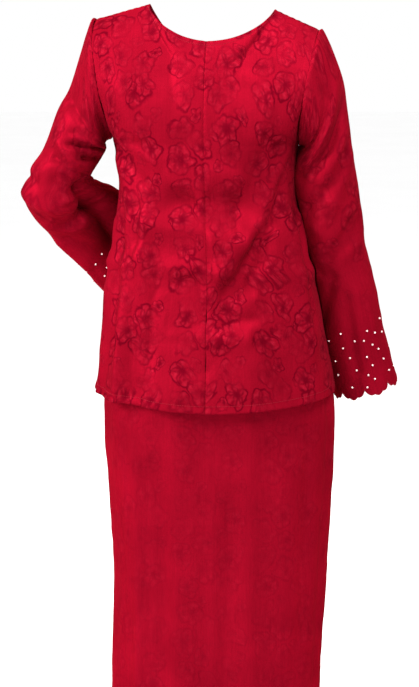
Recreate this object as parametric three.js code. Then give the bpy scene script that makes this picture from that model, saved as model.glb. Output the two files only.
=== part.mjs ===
// A modern baju kurung: a hip-length tunic with long scalloped sleeves over a straight, ankle-length skirt.
// Both pieces keep the hollow shape that they have on a wearer whose left hand rests on the waist.
// Millimetres, +Z up, front towards -Y, the wearer's left towards +X.
// The origin is the middle of the neck opening, level with the neck ends of the shoulder seams.
import * as THREE from "three";

// Cloth
const WALL = 1.6; // modelled thickness of one layer
const BAND_WALL = 2.4; // waistband, folded double
const SEAM_GAP = 0.3; // between pieces that are sewn together

// Tunic
const TUNIC_HEM = { back: -611, front: -604, left: -597, right: -599 }; // levels
const NECK = { half: 97, level: -2 }; // where the shoulder seams start
const NECK_BACK = { depth: 66, drop: 50 };
const NECK_FRONT = { depth: 78, drop: 88 };
const NECK_ROUND = 1.5; // over 1 makes the neckline flatter at its lowest point
// Slopes of the centre lines where they leave the underarm ring and where they reach the neckline
const CENTRE_BACK = { ring: { out: 12, up: 150 }, neck: { out: -70, up: 130 } };
const CENTRE_FRONT = { ring: { out: -8, up: 117 }, neck: { out: -48, up: 105 } };
const SHOULDER = { left: 180, right: 165, level: -29, y: 4 }; // where the shoulder seams end
const ARM_LEVEL = -205; // underarm point
const ARMHOLE_DEPTH = { back: 74, front: 62 };
const ARMHOLE_ROUND = 0.6; // 0 makes the armhole pointed at the underarm, 1 makes it a flat oval
const ARMHOLE_SKEW = 0.9; // under 1 puts the armhole's widest point lower
const CORNER_FADE = { reach: 0.3, rate: 2.5 }; // how fast the corner between neck and shoulder smooths out
const TUNIC_SQUARE = 2.35; // 2 is an ellipse, more is boxier

// Pose
const SHOULDER_LIFT = 8; // the left shoulder goes up by this and the right one down
const LIFT_FADES = { from: -60, to: -300 };
const SHOULDER_TURN = THREE.MathUtils.degToRad(-3.5); // shoulders against hips, left one forward
const TURN_FADES = { from: -205, to: -450 };

// Skirt
const SKIRT_TOP = -392;
const BAND_HEIGHT = 32;
const SKIRT_HEM = -1300;
const SKIRT_SQUARE = 2.25;
const HIP_RIGHT = 190; // the hip that carries the tunic's right side
const REST_GAP = 0.6; // between the tunic and the skirt where one lies on the other
const SLEEVE_GAP = { left: 6, right: 2.5 }; // between the tunic and a sleeve that rests against it

// Sleeve hem
const SCALLOPS = 8;
const SCALLOP = { depth: 8, round: 0.7, ripple: 3, ripples: 3 };
const HEM_RUN = 0.03; // the lobes go on the way that this last share of the sleeve runs

// How finely the walls are cut: columns from a centre line to a side, rows of each stretch
const QUARTER_COLUMNS = 14;
const NECK_COLUMNS = 8; // of them along the neckline
const ARM_ROWS = 14;
const BODY_ROWS = 13;
const SLEEVE_ROWS = 18;
const SKIRT_ROWS = 12;
const SLEEVE_CROWDING = 1.1; // above 1 puts more of a sleeve's rows near its armhole
const SKIRT_CROWDING = 0.8; // below 1 puts more of the skirt's rows near its top
const CUFF_SPLIT = 3; // hem points for each sleeve column
const CUFF_ROW = 0.985; // where the sleeve's columns split
const NORMAL_REACH = 0.4; // of a row: how far a sleeve's normals look along its surface

const LEFT = 1;
const RIGHT = -1;
const BACK = 1;
const FRONT = -1;
const HALF_TURN = Math.PI;
const QUARTER_TURN = Math.PI / 2;
const UPWARDS = new THREE.Vector3(0, 0, 1);

// Sections of the tunic from hem to underarm: side seams left and right of the middle, back and front depth
const TUNIC_SECTIONS = [
  { level: TUNIC_HEM.back, left: 190, right: 199, back: 141, front: 137 },
  { level: -575, left: 182, right: HIP_RIGHT + WALL + REST_GAP, back: 135, front: 134 },
  { level: -522, left: 177, right: 182, back: 126, front: 131 },
  { level: -456, left: 173, right: 170, back: 113, front: 128 },
  { level: -420, left: 167, right: 160, back: 106, front: 126 },
  { level: -362, left: 156, right: 147, back: 98, front: 123 },
  { level: -290, left: 147, right: 131, back: 94, front: 119 },
  { level: -250, left: 148, right: 130, back: 95, front: 115 },
  { level: ARM_LEVEL, left: 155, right: 135, back: 98, front: 111 },
];

// Sections of the skirt from hem to waist
const SKIRT_SECTIONS = [
  { level: SKIRT_HEM, left: 171, right: 178, back: 98, front: 104 },
  { level: -1200, left: 170, right: 179, back: 98, front: 105 },
  { level: -1060, left: 167, right: 182, back: 100, front: 106 },
  { level: -960, left: 163.5, right: 186.5, back: 103, front: 108 },
  { level: -878, left: 163, right: 190, back: 107, front: 110 },
  { level: -780, left: 168, right: 195, back: 114, front: 113 },
  { level: -700, left: 172, right: 198, back: 122, front: 116 },
  { level: -640, left: 173, right: 198, back: 127, front: 118 },
  { level: -575, left: 171, right: HIP_RIGHT, back: 126, front: 119 },
  { level: -500, left: 162, right: 170, back: 115, front: 115 },
  { level: -440, left: 148, right: 147, back: 102, front: 107 },
  { level: SKIRT_TOP, left: 128, right: 122, back: 90, front: 96 },
];

// Main folds of the tunic: each runs from one angle and level to another. Angles are in degrees from
// the centre back, plus to the wearer's left. A minus height is a trough.
const TUNIC_FOLDS = [
  { fromAngle: 72, fromLevel: -235, toAngle: 52, toLevel: -360, width: 16, height: 4 },
  { fromAngle: 52, fromLevel: -380, toAngle: 56, toLevel: -640, width: 15, height: 6 },
  { fromAngle: 40, fromLevel: -400, toAngle: 42, toLevel: -640, width: 15, height: -4 },
  { fromAngle: 26, fromLevel: -296, toAngle: -32, toLevel: -300, width: 28, height: -5 },
  { fromAngle: -45, fromLevel: -352, toAngle: -12, toLevel: -468, width: 16, height: -7 },
  { fromAngle: -22, fromLevel: -352, toAngle: -4, toLevel: -430, width: 20, height: 4 },
  { fromAngle: -62, fromLevel: -222, toAngle: -32, toLevel: -320, width: 30, height: -6 },
  { fromAngle: -70, fromLevel: -340, toAngle: -66, toLevel: -520, width: 18, height: 5 },
  { fromAngle: 22, fromLevel: -430, toAngle: 16, toLevel: -500, width: 32, height: -5 },
  { fromAngle: -34, fromLevel: -480, toAngle: -30, toLevel: -560, width: 30, height: 4 },
  { fromAngle: 148, fromLevel: -330, toAngle: 152, toLevel: -640, width: 20, height: -6 },
  { fromAngle: 128, fromLevel: -300, toAngle: 126, toLevel: -640, width: 18, height: 6 },
  { fromAngle: 172, fromLevel: -380, toAngle: 176, toLevel: -640, width: 20, height: 5 },
  { fromAngle: -150, fromLevel: -310, toAngle: -154, toLevel: -640, width: 20, height: -6 },
  { fromAngle: -126, fromLevel: -290, toAngle: -124, toLevel: -520, width: 18, height: 5 },
  { fromAngle: 112, fromLevel: -240, toAngle: 140, toLevel: -330, width: 20, height: -4 },
  { fromAngle: -112, fromLevel: -240, toAngle: -140, toLevel: -330, width: 20, height: -4 },
];

// Main folds of the skirt
const SKIRT_FOLDS = [
  { fromAngle: 58, fromLevel: -640, toAngle: 54, toLevel: -1320, width: 16, height: 3.5 },
  { fromAngle: 38, fromLevel: -700, toAngle: 40, toLevel: -1320, width: 18, height: -3 },
  { fromAngle: -52, fromLevel: -690, toAngle: -58, toLevel: -1320, width: 18, height: 3 },
  { fromAngle: -20, fromLevel: -760, toAngle: -14, toLevel: -1320, width: 24, height: -3 },
  { fromAngle: 148, fromLevel: -620, toAngle: 150, toLevel: -1320, width: 20, height: -4 },
  { fromAngle: -142, fromLevel: -640, toAngle: -150, toLevel: -1320, width: 20, height: 4 },
  { fromAngle: 176, fromLevel: -700, toAngle: 172, toLevel: -1320, width: 22, height: 3 },
];
const FOLD_RADIUS = 150; // turns a fold's angle into a width on the cloth

// Rings of the sleeves after the armhole: where each crosses the outer and the inner line of the arm, and
// half its depth across them. "at" is its share of the way down the sleeve.
const RIGHT_SLEEVE = [
  { at: 0.1, outer: [-197, 11, -98], inner: [-146, 6, -213], half: 62 },
  { at: 0.2, outer: [-211, 5, -165], inner: [-136, 0, -232], half: 57 },
  { at: 0.32, outer: [-222, -5, -235], inner: [-130, -10, -262], half: 55 },
  { at: 0.44, outer: [-233, -17, -307], inner: [-136, -20, -325], half: 53 },
  { at: 0.56, outer: [-244, -29, -377], inner: [-150, -31, -394], half: 51 },
  { at: 0.67, outer: [-259, -40, -440], inner: [-167, -42, -456], half: 50 },
  { at: 0.78, outer: [-273, -50, -502], inner: [-179, -51, -518], half: 49 },
  { at: 0.89, outer: [-287, -58, -556], inner: [-190, -58, -572], half: 49 },
  { at: 1, outer: [-298, -63, -598], inner: [-199, -63, -612], half: 50 },
];
const LEFT_SLEEVE = [
  { at: 0.1, outer: [216, -5, -106], inner: [168, -8, -211], half: 62 },
  { at: 0.2, outer: [243, -1, -164], inner: [168, -5, -222], half: 57 },
  { at: 0.3, outer: [265, 3, -220], inner: [180, 0, -243], half: 54 },
  { at: 0.38, outer: [286, 8, -252], inner: [189, 4, -258], half: 50 },
  { at: 0.46, outer: [299, 6, -290], inner: [192, -1, -274], half: 46 },
  { at: 0.54, outer: [290, -14, -325], inner: [180, -24, -281], half: 45 },
  { at: 0.64, outer: [262, -44, -366], inner: [160, -54, -289], half: 44 },
  { at: 0.76, outer: [230, -78, -410], inner: [132, -88, -316], half: 41 },
  { at: 0.88, outer: [200, -113, -457], inner: [100, -122, -361], half: 40 },
  { at: 1, outer: [168, -148, -500], inner: [64, -158, -406], half: 40 },
];
const CAP_START = { at: 0.025, out: 6, down: 1 }; // the sleeve leaves the armhole straight out from the body
const SLEEVE_FOLDS_BEGIN = { from: 0.02, to: 0.1 };

// Main folds of the sleeves: "turn" is in degrees round the arm, 0 at the outer line, plus over the back
const RIGHT_SLEEVE_FOLDS = [
  { fromTurn: 40, fromAt: 0.16, toTurn: 130, toAt: 0.3, width: 14, height: -5 },
  { fromTurn: 30, fromAt: 0.3, toTurn: 110, toAt: 0.46, width: 14, height: 4 },
  { fromTurn: 30, fromAt: 0.48, toTurn: 120, toAt: 0.58, width: 14, height: -4 },
  { fromTurn: -40, fromAt: 0.2, toTurn: -120, toAt: 0.34, width: 14, height: -5 },
  { fromTurn: -60, fromAt: 0.44, toTurn: -140, toAt: 0.5, width: 14, height: -5 },
  { fromTurn: 70, fromAt: 0.66, toTurn: 80, toAt: 1.02, width: 16, height: 4 },
  { fromTurn: -70, fromAt: 0.6, toTurn: -80, toAt: 1.02, width: 16, height: 4 },
];
const LEFT_SLEEVE_FOLDS = [
  { fromTurn: 12, fromAt: 0.13, toTurn: 80, toAt: 0.15, width: 13, height: -5 },
  { fromTurn: 90, fromAt: 0.4, toTurn: 145, toAt: 0.43, width: 14, height: -5 },
  { fromTurn: 80, fromAt: 0.49, toTurn: 140, toAt: 0.5, width: 14, height: 3 },
  { fromTurn: 70, fromAt: 0.57, toTurn: 140, toAt: 0.56, width: 14, height: -5 },
  { fromTurn: -70, fromAt: 0.62, toTurn: -140, toAt: 0.6, width: 14, height: -4 },
  { fromTurn: 60, fromAt: 0.24, toTurn: 130, toAt: 0.36, width: 16, height: 4 },
  { fromTurn: 20, fromAt: 0.66, toTurn: 60, toAt: 1.02, width: 16, height: 4 },
];
const SLEEVE_RADIUS = 52; // turns a sleeve fold's angle into a width on the cloth
const SLEEVE_LENGTH = 600;

// Numbers -------------------------------------------------------------------------------------------

const lerp = THREE.MathUtils.lerp;
const smooth = THREE.MathUtils.smoothstep;

function hermite(a, slopeA, b, slopeB, t) {
  const rest = 1 - t;
  return (
    a * (1 + 2 * t) * rest * rest +
    slopeA * t * rest * rest +
    b * t * t * (3 - 2 * t) +
    slopeB * t * t * (t - 1)
  );
}

// A smooth curve through (x, y) pairs whose x goes up, flat beyond both ends
function curveThrough(x, y) {
  const last = x.length - 1;
  const slopes = x.map((_, i) => {
    const before = Math.max(i - 1, 0);
    const after = Math.min(i + 1, last);
    return (y[after] - y[before]) / (x[after] - x[before]);
  });
  return (at) => {
    const inside = THREE.MathUtils.clamp(at, x[0], x[last]);
    const i = Math.max(0, x.findLastIndex((value, index) => value <= inside && index < last));
    const span = x[i + 1] - x[i];
    return hermite(y[i], slopes[i] * span, y[i + 1], slopes[i + 1] * span, (inside - x[i]) / span);
  };
}

function sectionCurves(sections) {
  const levels = sections.map((row) => row.level);
  const curves = {};
  for (const side of ["left", "right", "back", "front"])
    curves[side] = curveThrough(levels, sections.map((row) => row[side]));
  return curves;
}

// Sum of the folds' heights at a place, each a soft ridge or trough round a straight line
function foldHeight(lines, x, y) {
  let height = 0;
  for (const fold of lines) {
    const alongX = fold.x1 - fold.x0;
    const alongY = fold.y1 - fold.y0;
    const share = ((x - fold.x0) * alongX + (y - fold.y0) * alongY) / (alongX ** 2 + alongY ** 2);
    const t = THREE.MathUtils.clamp(share, 0, 1);
    const away = Math.hypot(x - fold.x0 - t * alongX, y - fold.y0 - t * alongY);
    height += fold.height * Math.exp(-((away / fold.width) ** 2));
  }
  return height;
}

function bodyFoldLines(folds) {
  const across = (degrees) => THREE.MathUtils.degToRad(degrees) * FOLD_RADIUS;
  return folds.map((fold) => ({
    x0: across(fold.fromAngle),
    y0: fold.fromLevel,
    x1: across(fold.toAngle),
    y1: fold.toLevel,
    width: fold.width,
    height: fold.height,
  }));
}

function sleeveFoldLines(folds) {
  const across = (degrees) => THREE.MathUtils.degToRad(degrees) * SLEEVE_RADIUS;
  return folds.map((fold) => ({
    x0: across(fold.fromTurn),
    y0: fold.fromAt * SLEEVE_LENGTH,
    x1: across(fold.toTurn),
    y1: fold.toAt * SLEEVE_LENGTH,
    width: fold.width,
    height: fold.height,
  }));
}

// Garment sections ----------------------------------------------------------------------------------

// A boxy oval round the wearer. The angle runs from the centre back, 0, to the centre front, half a turn.
function ovalPoint(curves, square, side, angle, level) {
  const wide = side === LEFT ? curves.left(level) : curves.right(level);
  const deep = angle <= QUARTER_TURN ? curves.back(level) : curves.front(level);
  const radius =
    (Math.abs(Math.sin(angle) / wide) ** square + Math.abs(Math.cos(angle) / deep) ** square) **
    (-1 / square);
  return new THREE.Vector3(side * radius * Math.sin(angle), radius * Math.cos(angle), level);
}

function pushedByFolds(point, lines) {
  const angle = Math.atan2(point.x, point.y);
  const height = foldHeight(lines, angle * FOLD_RADIUS, point.z);
  return new THREE.Vector3(
    point.x + height * Math.sin(angle),
    point.y + height * Math.cos(angle),
    point.z,
  );
}

const tunicCurves = sectionCurves(TUNIC_SECTIONS);
const skirtCurves = sectionCurves(SKIRT_SECTIONS);
const tunicFolds = bodyFoldLines(TUNIC_FOLDS);
const skirtFolds = bodyFoldLines(SKIRT_FOLDS);

// The hem hangs lower in the middle than at the side seams
function hemLevel(side, angle) {
  const middle = Math.cos(angle) > 0 ? TUNIC_HEM.back : TUNIC_HEM.front;
  const seam = side === LEFT ? TUNIC_HEM.left : TUNIC_HEM.right;
  return lerp(middle, seam, Math.sin(angle) ** 2);
}

// Top edge of a quarter of the tunic: neckline up to NECK_SHARE, then the shoulder seam
const NECK_SHARE = NECK_COLUMNS / QUARTER_COLUMNS;
function topEdge(side, face, share) {
  const neck = face === BACK ? NECK_BACK : NECK_FRONT;
  if (share <= NECK_SHARE) {
    const turn = (share / NECK_SHARE) * QUARTER_TURN;
    return new THREE.Vector3(
      side * NECK.half * Math.sin(turn),
      face * neck.depth * Math.cos(turn),
      NECK.level - neck.drop * Math.cos(turn) ** NECK_ROUND,
    );
  }
  const t = (share - NECK_SHARE) / (1 - NECK_SHARE);
  const tip = side === LEFT ? SHOULDER.left : SHOULDER.right;
  return new THREE.Vector3(
    side * lerp(NECK.half, tip, t),
    SHOULDER.y * t,
    lerp(NECK.level, SHOULDER.level, t),
  );
}

// The top edge's shape as the cloth below it has it: the corner at the neck fades out within a few rows
function topShape(side, face, share, t) {
  const reach = Math.min(share, 1 - share, CORNER_FADE.reach) * Math.min(1, (1 - t) * CORNER_FADE.rate);
  const shape = new THREE.Vector3();
  const offsets = [-1, -0.5, 0, 0.5, 1];
  for (const offset of offsets) shape.add(topEdge(side, face, share + offset * reach));
  return shape.divideScalar(offsets.length);
}

function armholeEdge(side, face, t) {
  const climb = lerp(Math.sin(QUARTER_TURN * t), (1 - Math.cos(Math.PI * t)) / 2, ARMHOLE_ROUND);
  const underarm = side === LEFT ? tunicCurves.left(ARM_LEVEL) : tunicCurves.right(ARM_LEVEL);
  const tip = side === LEFT ? SHOULDER.left : SHOULDER.right;
  const depth = face === BACK ? ARMHOLE_DEPTH.back : ARMHOLE_DEPTH.front;
  return new THREE.Vector3(
    side * lerp(underarm, tip, climb),
    face * depth * Math.sin(Math.PI * t ** ARMHOLE_SKEW) + SHOULDER.y * t,
    lerp(ARM_LEVEL, SHOULDER.level, climb),
  );
}

function centreEdge(face, t) {
  const ring = face === BACK ? tunicCurves.back(ARM_LEVEL) : tunicCurves.front(ARM_LEVEL);
  const neck = face === BACK ? NECK_BACK : NECK_FRONT;
  const slope = face === BACK ? CENTRE_BACK : CENTRE_FRONT;
  return new THREE.Vector3(
    0,
    face * hermite(ring, slope.ring.out, neck.depth, slope.neck.out, t),
    hermite(ARM_LEVEL, slope.ring.up, NECK.level - neck.drop, slope.neck.up, t),
  );
}

// Above the underarm a quarter fills its four edges: ring below, neck and shoulder above, centre, armhole.
// It is a Coons patch whose blends start flat, so that the cloth runs smoothly out of the ring below.
function upperPoint(side, face, share, t) {
  const below = (s) => {
    const angle = face === BACK ? s * QUARTER_TURN : HALF_TURN - s * QUARTER_TURN;
    return ovalPoint(tunicCurves, TUNIC_SQUARE, side, angle, ARM_LEVEL);
  };
  const mix = (a, b, w) => a.clone().lerp(b, w);
  const rise = smooth(t, 0, 1);
  const aside = share ** 2;
  const upDown = mix(below(share), topShape(side, face, share, t), rise);
  const across = mix(centreEdge(face, t), armholeEdge(side, face, t), aside);
  const corners = mix(
    mix(below(0), topEdge(side, face, 0), rise),
    mix(below(1), topEdge(side, face, 1), rise),
    aside,
  );
  return upDown.add(across).sub(corners);
}

function turnAt(level) {
  return SHOULDER_TURN * (1 - smooth(-level, -TURN_FADES.from, -TURN_FADES.to));
}

function posed(point) {
  const lift = SHOULDER_LIFT * (point.x / SHOULDER.left);
  const lifted = point.z + lift * (1 - smooth(-point.z, -LIFT_FADES.from, -LIFT_FADES.to));
  return new THREE.Vector3(point.x, point.y, lifted).applyAxisAngle(UPWARDS, turnAt(point.z));
}

// The tunic's outer surface. row counts up from the hem, and share runs from a centre line to a side.
function tunicPoint(side, face, share, row) {
  if (row >= BODY_ROWS) {
    const base = upperPoint(side, face, share, (row - BODY_ROWS) / ARM_ROWS);
    return posed(pushedByFolds(base, tunicFolds));
  }
  const angle = face === BACK ? share * QUARTER_TURN : HALF_TURN - share * QUARTER_TURN;
  const level = lerp(hemLevel(side, angle), ARM_LEVEL, row / BODY_ROWS);
  return posed(pushedByFolds(ovalPoint(tunicCurves, TUNIC_SQUARE, side, angle, level), tunicFolds));
}

function skirtPoint(side, angle, level) {
  return pushedByFolds(ovalPoint(skirtCurves, SKIRT_SQUARE, side, angle, level), skirtFolds);
}

// Walls ---------------------------------------------------------------------------------------------

// A closed solid from its points and triangles, with the faces turned outwards
function solid(name, points, triangles, material) {
  const positions = new Float32Array(points.flatMap((p) => [p.x, p.y, p.z]));
  const cross = new THREE.Vector3();
  let volume = 0;
  for (const [a, b, c] of triangles) volume += cross.crossVectors(points[a], points[b]).dot(points[c]);
  const outwards = volume > 0 ? triangles : triangles.map(([a, b, c]) => [a, c, b]);
  const geometry = new THREE.BufferGeometry();
  geometry.setAttribute("position", new THREE.BufferAttribute(positions, 3));
  geometry.setIndex(outwards.flat());
  geometry.computeVertexNormals();
  const mesh = new THREE.Mesh(geometry, material);
  mesh.name = name;
  return mesh;
}

// Unit normal of a surface f(u, v) at a place, by small steps that stay in the given ranges
function surfaceNormal(f, u, v, uRange, vRange) {
  const step = 1e-3;
  const slope = (value, [low, high], at) => {
    const size = step * (high - low);
    const a = Math.max(low, value - size);
    const b = Math.min(high, value + size);
    return at(b).sub(at(a));
  };
  const alongU = slope(u, uRange, (value) => f(value, v));
  const alongV = slope(v, vRange, (value) => f(u, value));
  return alongU.cross(alongV).normalize();
}

// Moves the points of an edge towards their neighbours by half a seam's gap
function openSeam(edge, neighbours) {
  edge.forEach((point, i) => {
    const inwards = neighbours[i].clone().sub(point).normalize();
    point.addScaledVector(inwards, SEAM_GAP / 2);
  });
}

// A panel of cloth: outer and inner grids [row][column], joined by faces all round the edge
function panelSolid(name, outer, inner, material) {
  const rows = outer.length;
  const columns = outer[0].length;
  const points = [...outer.flat(), ...inner.flat()];
  const at = (layer, i, j) => layer * rows * columns + i * columns + j;
  const triangles = [];
  const quad = (a, b, c, d) => triangles.push([a, b, c], [a, c, d]);
  for (let i = 0; i < rows - 1; i++)
    for (let j = 0; j < columns - 1; j++) {
      quad(at(0, i, j), at(0, i, j + 1), at(0, i + 1, j + 1), at(0, i + 1, j));
      quad(at(1, i, j), at(1, i + 1, j), at(1, i + 1, j + 1), at(1, i, j + 1));
    }
  for (let j = 0; j < columns - 1; j++) {
    quad(at(0, 0, j), at(1, 0, j), at(1, 0, j + 1), at(0, 0, j + 1));
    const top = rows - 1;
    quad(at(0, top, j), at(0, top, j + 1), at(1, top, j + 1), at(1, top, j));
  }
  for (let i = 0; i < rows - 1; i++) {
    quad(at(0, i, 0), at(0, i + 1, 0), at(1, i + 1, 0), at(1, i, 0));
    const end = columns - 1;
    quad(at(0, i, end), at(1, i, end), at(1, i + 1, end), at(0, i + 1, end));
  }
  return solid(name, points, triangles, material);
}

// A tube of cloth from closed rings. A ring may have a whole number of times the points of the one before.
function tubeSolid(name, outerRings, innerRings, material) {
  const points = [];
  const start = [];
  for (const rings of [outerRings, innerRings])
    for (const ring of rings) {
      start.push(points.length);
      points.push(...ring);
    }
  const count = outerRings.length;
  const triangles = [];
  for (const layer of [0, 1])
    for (let i = 0; i < count - 1; i++) {
      const coarse = outerRings[i].length;
      const split = outerRings[i + 1].length / coarse;
      const above = (k) => start[layer * count + i] + (k % coarse);
      const below = (k) => start[layer * count + i + 1] + (k % (coarse * split));
      for (let k = 0; k < coarse; k++) {
        const faces = [[above(k), below(k * split + split), above(k + 1)]];
        for (let m = 0; m < split; m++)
          faces.push([above(k), below(k * split + m), below(k * split + m + 1)]);
        triangles.push(...(layer === 0 ? faces : faces.map(([a, b, c]) => [a, c, b])));
      }
    }
  for (const end of [0, count - 1]) {
    const size = outerRings[end].length;
    for (let k = 0; k < size; k++) {
      const a = start[end] + k;
      const b = start[end] + ((k + 1) % size);
      const c = start[count + end] + ((k + 1) % size);
      const d = start[count + end] + k;
      const faces = [[a, b, c], [a, c, d]];
      triangles.push(...(end === 0 ? faces : faces.map(([p, q, r]) => [p, r, q])));
    }
  }
  return solid(name, points, triangles, material);
}

// Tunic ---------------------------------------------------------------------------------------------

// A quarter of the tunic: its outer points and their normals, [row][column]
function quarterGrid(side, face) {
  const rows = BODY_ROWS + ARM_ROWS;
  const surface = (share, row) => tunicPoint(side, face, share, row);
  const outer = [];
  const normals = [];
  for (let row = 0; row <= rows; row++) {
    outer.push([]);
    normals.push([]);
    for (let column = 0; column <= QUARTER_COLUMNS; column++) {
      const share = column / QUARTER_COLUMNS;
      // Body rows and yoke rows are two surfaces that meet at the underarm
      const range = row <= BODY_ROWS ? [0, BODY_ROWS - 1e-6] : [BODY_ROWS, rows];
      const normal = surfaceNormal(surface, share, row, [0, 1], range);
      outer[row].push(surface(share, row));
      normals[row].push(normal.multiplyScalar(-side * face));
    }
  }
  return { outer, normals };
}

// Two edges that are sewn together have one normal at each point, so that their walls stay parallel
function shareNormals(edge, otherEdge) {
  edge.forEach((normal, i) => {
    normal.add(otherEdge[i]).normalize();
    otherEdge[i].copy(normal);
  });
}

function addInside(quarter) {
  quarter.inner = quarter.outer.map((row, i) =>
    row.map((point, j) => point.clone().addScaledVector(quarter.normals[i][j], -WALL)),
  );
}

// Opens the seams at the side, below the underarm, and along the shoulder
function openQuarterSeams({ outer, inner }) {
  for (const grid of [outer, inner]) {
    const sideRows = grid.slice(0, BODY_ROWS + 1);
    openSeam(sideRows.map((row) => row.at(-1)), sideRows.map((row) => row.at(-2)));
    openSeam(grid.at(-1).slice(NECK_COLUMNS), grid.at(-2).slice(NECK_COLUMNS));
  }
}

function openCentreSeam({ outer, inner }) {
  for (const grid of [outer, inner]) openSeam(grid.map((row) => row[0]), grid.map((row) => row[1]));
}

function makeTunic(material) {
  const backLeft = quarterGrid(LEFT, BACK);
  const backRight = quarterGrid(RIGHT, BACK);
  const frontLeft = quarterGrid(LEFT, FRONT);
  const frontRight = quarterGrid(RIGHT, FRONT);
  const sideOf = ({ normals }) => normals.map((row) => row.at(-1));
  const centreOf = ({ normals }) => normals.map((row) => row[0]);
  const shoulderOf = ({ normals }) => normals.at(-1).slice(NECK_COLUMNS, -1);
  for (const [back, front] of [
    [backLeft, frontLeft],
    [backRight, frontRight],
  ]) {
    shareNormals(sideOf(back).slice(0, BODY_ROWS + 1), sideOf(front).slice(0, BODY_ROWS + 1));
    shareNormals(sideOf(back).slice(-1), sideOf(front).slice(-1));
    shareNormals(shoulderOf(back), shoulderOf(front));
  }
  shareNormals(centreOf(backLeft), centreOf(backRight));
  shareNormals(centreOf(frontLeft), centreOf(frontRight));
  const quarters = [backLeft, backRight, frontLeft, frontRight];
  quarters.forEach(addInside);
  const armholes = {
    left: armholeLoop(backLeft, frontLeft),
    right: armholeLoop(backRight, frontRight),
  };
  quarters.forEach(openQuarterSeams);
  openCentreSeam(backLeft);
  openCentreSeam(backRight);
  // The front is one piece, so its two quarters share the centre column
  const joined = (layer) =>
    frontLeft[layer].map((row, i) => [...row.toReversed(), ...frontRight[layer][i].slice(1)]);
  const pieces = [
    panelSolid("tunic_back_left", backLeft.outer, backLeft.inner, material),
    panelSolid("tunic_back_right", backRight.outer, backRight.inner, material),
    panelSolid("tunic_front", joined("outer"), joined("inner"), material),
  ];
  return { pieces, armholes };
}

// The armhole's points from the shoulder tip down the back to the underarm and up the front, each with the
// panel's normal and the direction across the seam, away from the panel
function armholeLoop(back, front) {
  const edge = ({ outer, normals }) => {
    const rows = [];
    for (let row = BODY_ROWS; row <= BODY_ROWS + ARM_ROWS; row++) {
      const point = outer[row].at(-1).clone();
      rows.push({ point, normal: normals[row].at(-1), outwards: point.clone().sub(outer[row].at(-2)) });
    }
    return rows;
  };
  const loop = [...edge(back).toReversed(), ...edge(front).slice(1, -1)];
  // At the underarm the panel ends upwards, at its side seam
  loop[ARM_ROWS].outwards = UPWARDS;
  return loop.map(({ point, normal, outwards }, k) => {
    const next = loop[(k + 1) % loop.length].point;
    const before = loop[(k + loop.length - 1) % loop.length].point;
    const across = next.clone().sub(before).cross(normal).normalize();
    if (across.dot(outwards) < 0) across.negate();
    return { point, normal, across };
  });
}

// Sleeves -------------------------------------------------------------------------------------------

const vector = ([x, y, z]) => new THREE.Vector3(x, y, z);

// The scalloped hem: how far the cloth reaches past the last ring, round the arm in lobes with small ripples
function scallopReach(turn) {
  const lobe = ((turn / (2 * Math.PI)) * SCALLOPS) % 1;
  const ripple = Math.abs(Math.sin(SCALLOP.ripples * Math.PI * lobe));
  return SCALLOP.depth * Math.sin(Math.PI * lobe) ** SCALLOP.round + SCALLOP.ripple * ripple;
}

// A sleeve's outer surface as a function of the turn round the arm and the share of the way down it
function sleeveSurface(loop, rings, folds) {
  const centres = rings.map((ring) => vector(ring.outer).lerp(vector(ring.inner), 0.5));
  const loopCentre = loop[0].point.clone().lerp(loop[loop.length / 2].point, 0.5);
  const side = Math.sign(loopCentre.x);
  const capStart = new THREE.Vector3(side * CAP_START.out, 0, -CAP_START.down);
  const path = [loopCentre, loopCentre.clone().add(capStart), ...centres];
  const ats = [0, CAP_START.at, ...rings.map((ring) => ring.at)];
  const axes = ["x", "y", "z"];
  const centreAt = axes.map((axis) => curveThrough(ats, path.map((centre) => centre[axis])));
  const backwards = rings.map((ring, i) => {
    const along = path[Math.min(i + 3, path.length - 1)].clone().sub(path[i + 1]);
    const outwards = vector(ring.outer).sub(vector(ring.inner));
    const across = along.cross(outwards).normalize();
    return across.y < 0 ? across.negate() : across;
  });
  const ringPoint = (i, turn) => {
    const ring = rings[i];
    const outwards = vector(ring.outer).sub(centres[i]);
    return centres[i]
      .clone()
      .addScaledVector(outwards, Math.cos(turn))
      .addScaledVector(backwards[i], ring.half * Math.sin(turn));
  };
  // The armhole as a smooth closed curve of the turn
  const corners = [...loop.keys(), loop.length].map((k) => (k * 2 * Math.PI) / loop.length);
  const loopAt = axes.map((axis) =>
    curveThrough(corners, [...loop, loop[0]].map(({ point }) => point[axis])),
  );
  return (turn, at) => {
    const round = turn - 2 * Math.PI * Math.floor(turn / (2 * Math.PI));
    const start = vector(loopAt.map((curve) => curve(round)));
    const column = [start, start.clone().add(capStart), ...rings.map((_, i) => ringPoint(i, round))];
    const base = vector(axes.map((axis) => curveThrough(ats, column.map((point) => point[axis]))(at)));
    const signed = round > Math.PI ? round - 2 * Math.PI : round;
    const fades = smooth(at, SLEEVE_FOLDS_BEGIN.from, SLEEVE_FOLDS_BEGIN.to);
    const height = fades * foldHeight(folds, signed * SLEEVE_RADIUS, at * SLEEVE_LENGTH);
    const centre = vector(centreAt.map((curve) => curve(at)));
    base.addScaledVector(base.clone().sub(centre).normalize(), height);
    return at > CAP_START.at ? clearOfTunic(base) : base;
  };
}

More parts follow.
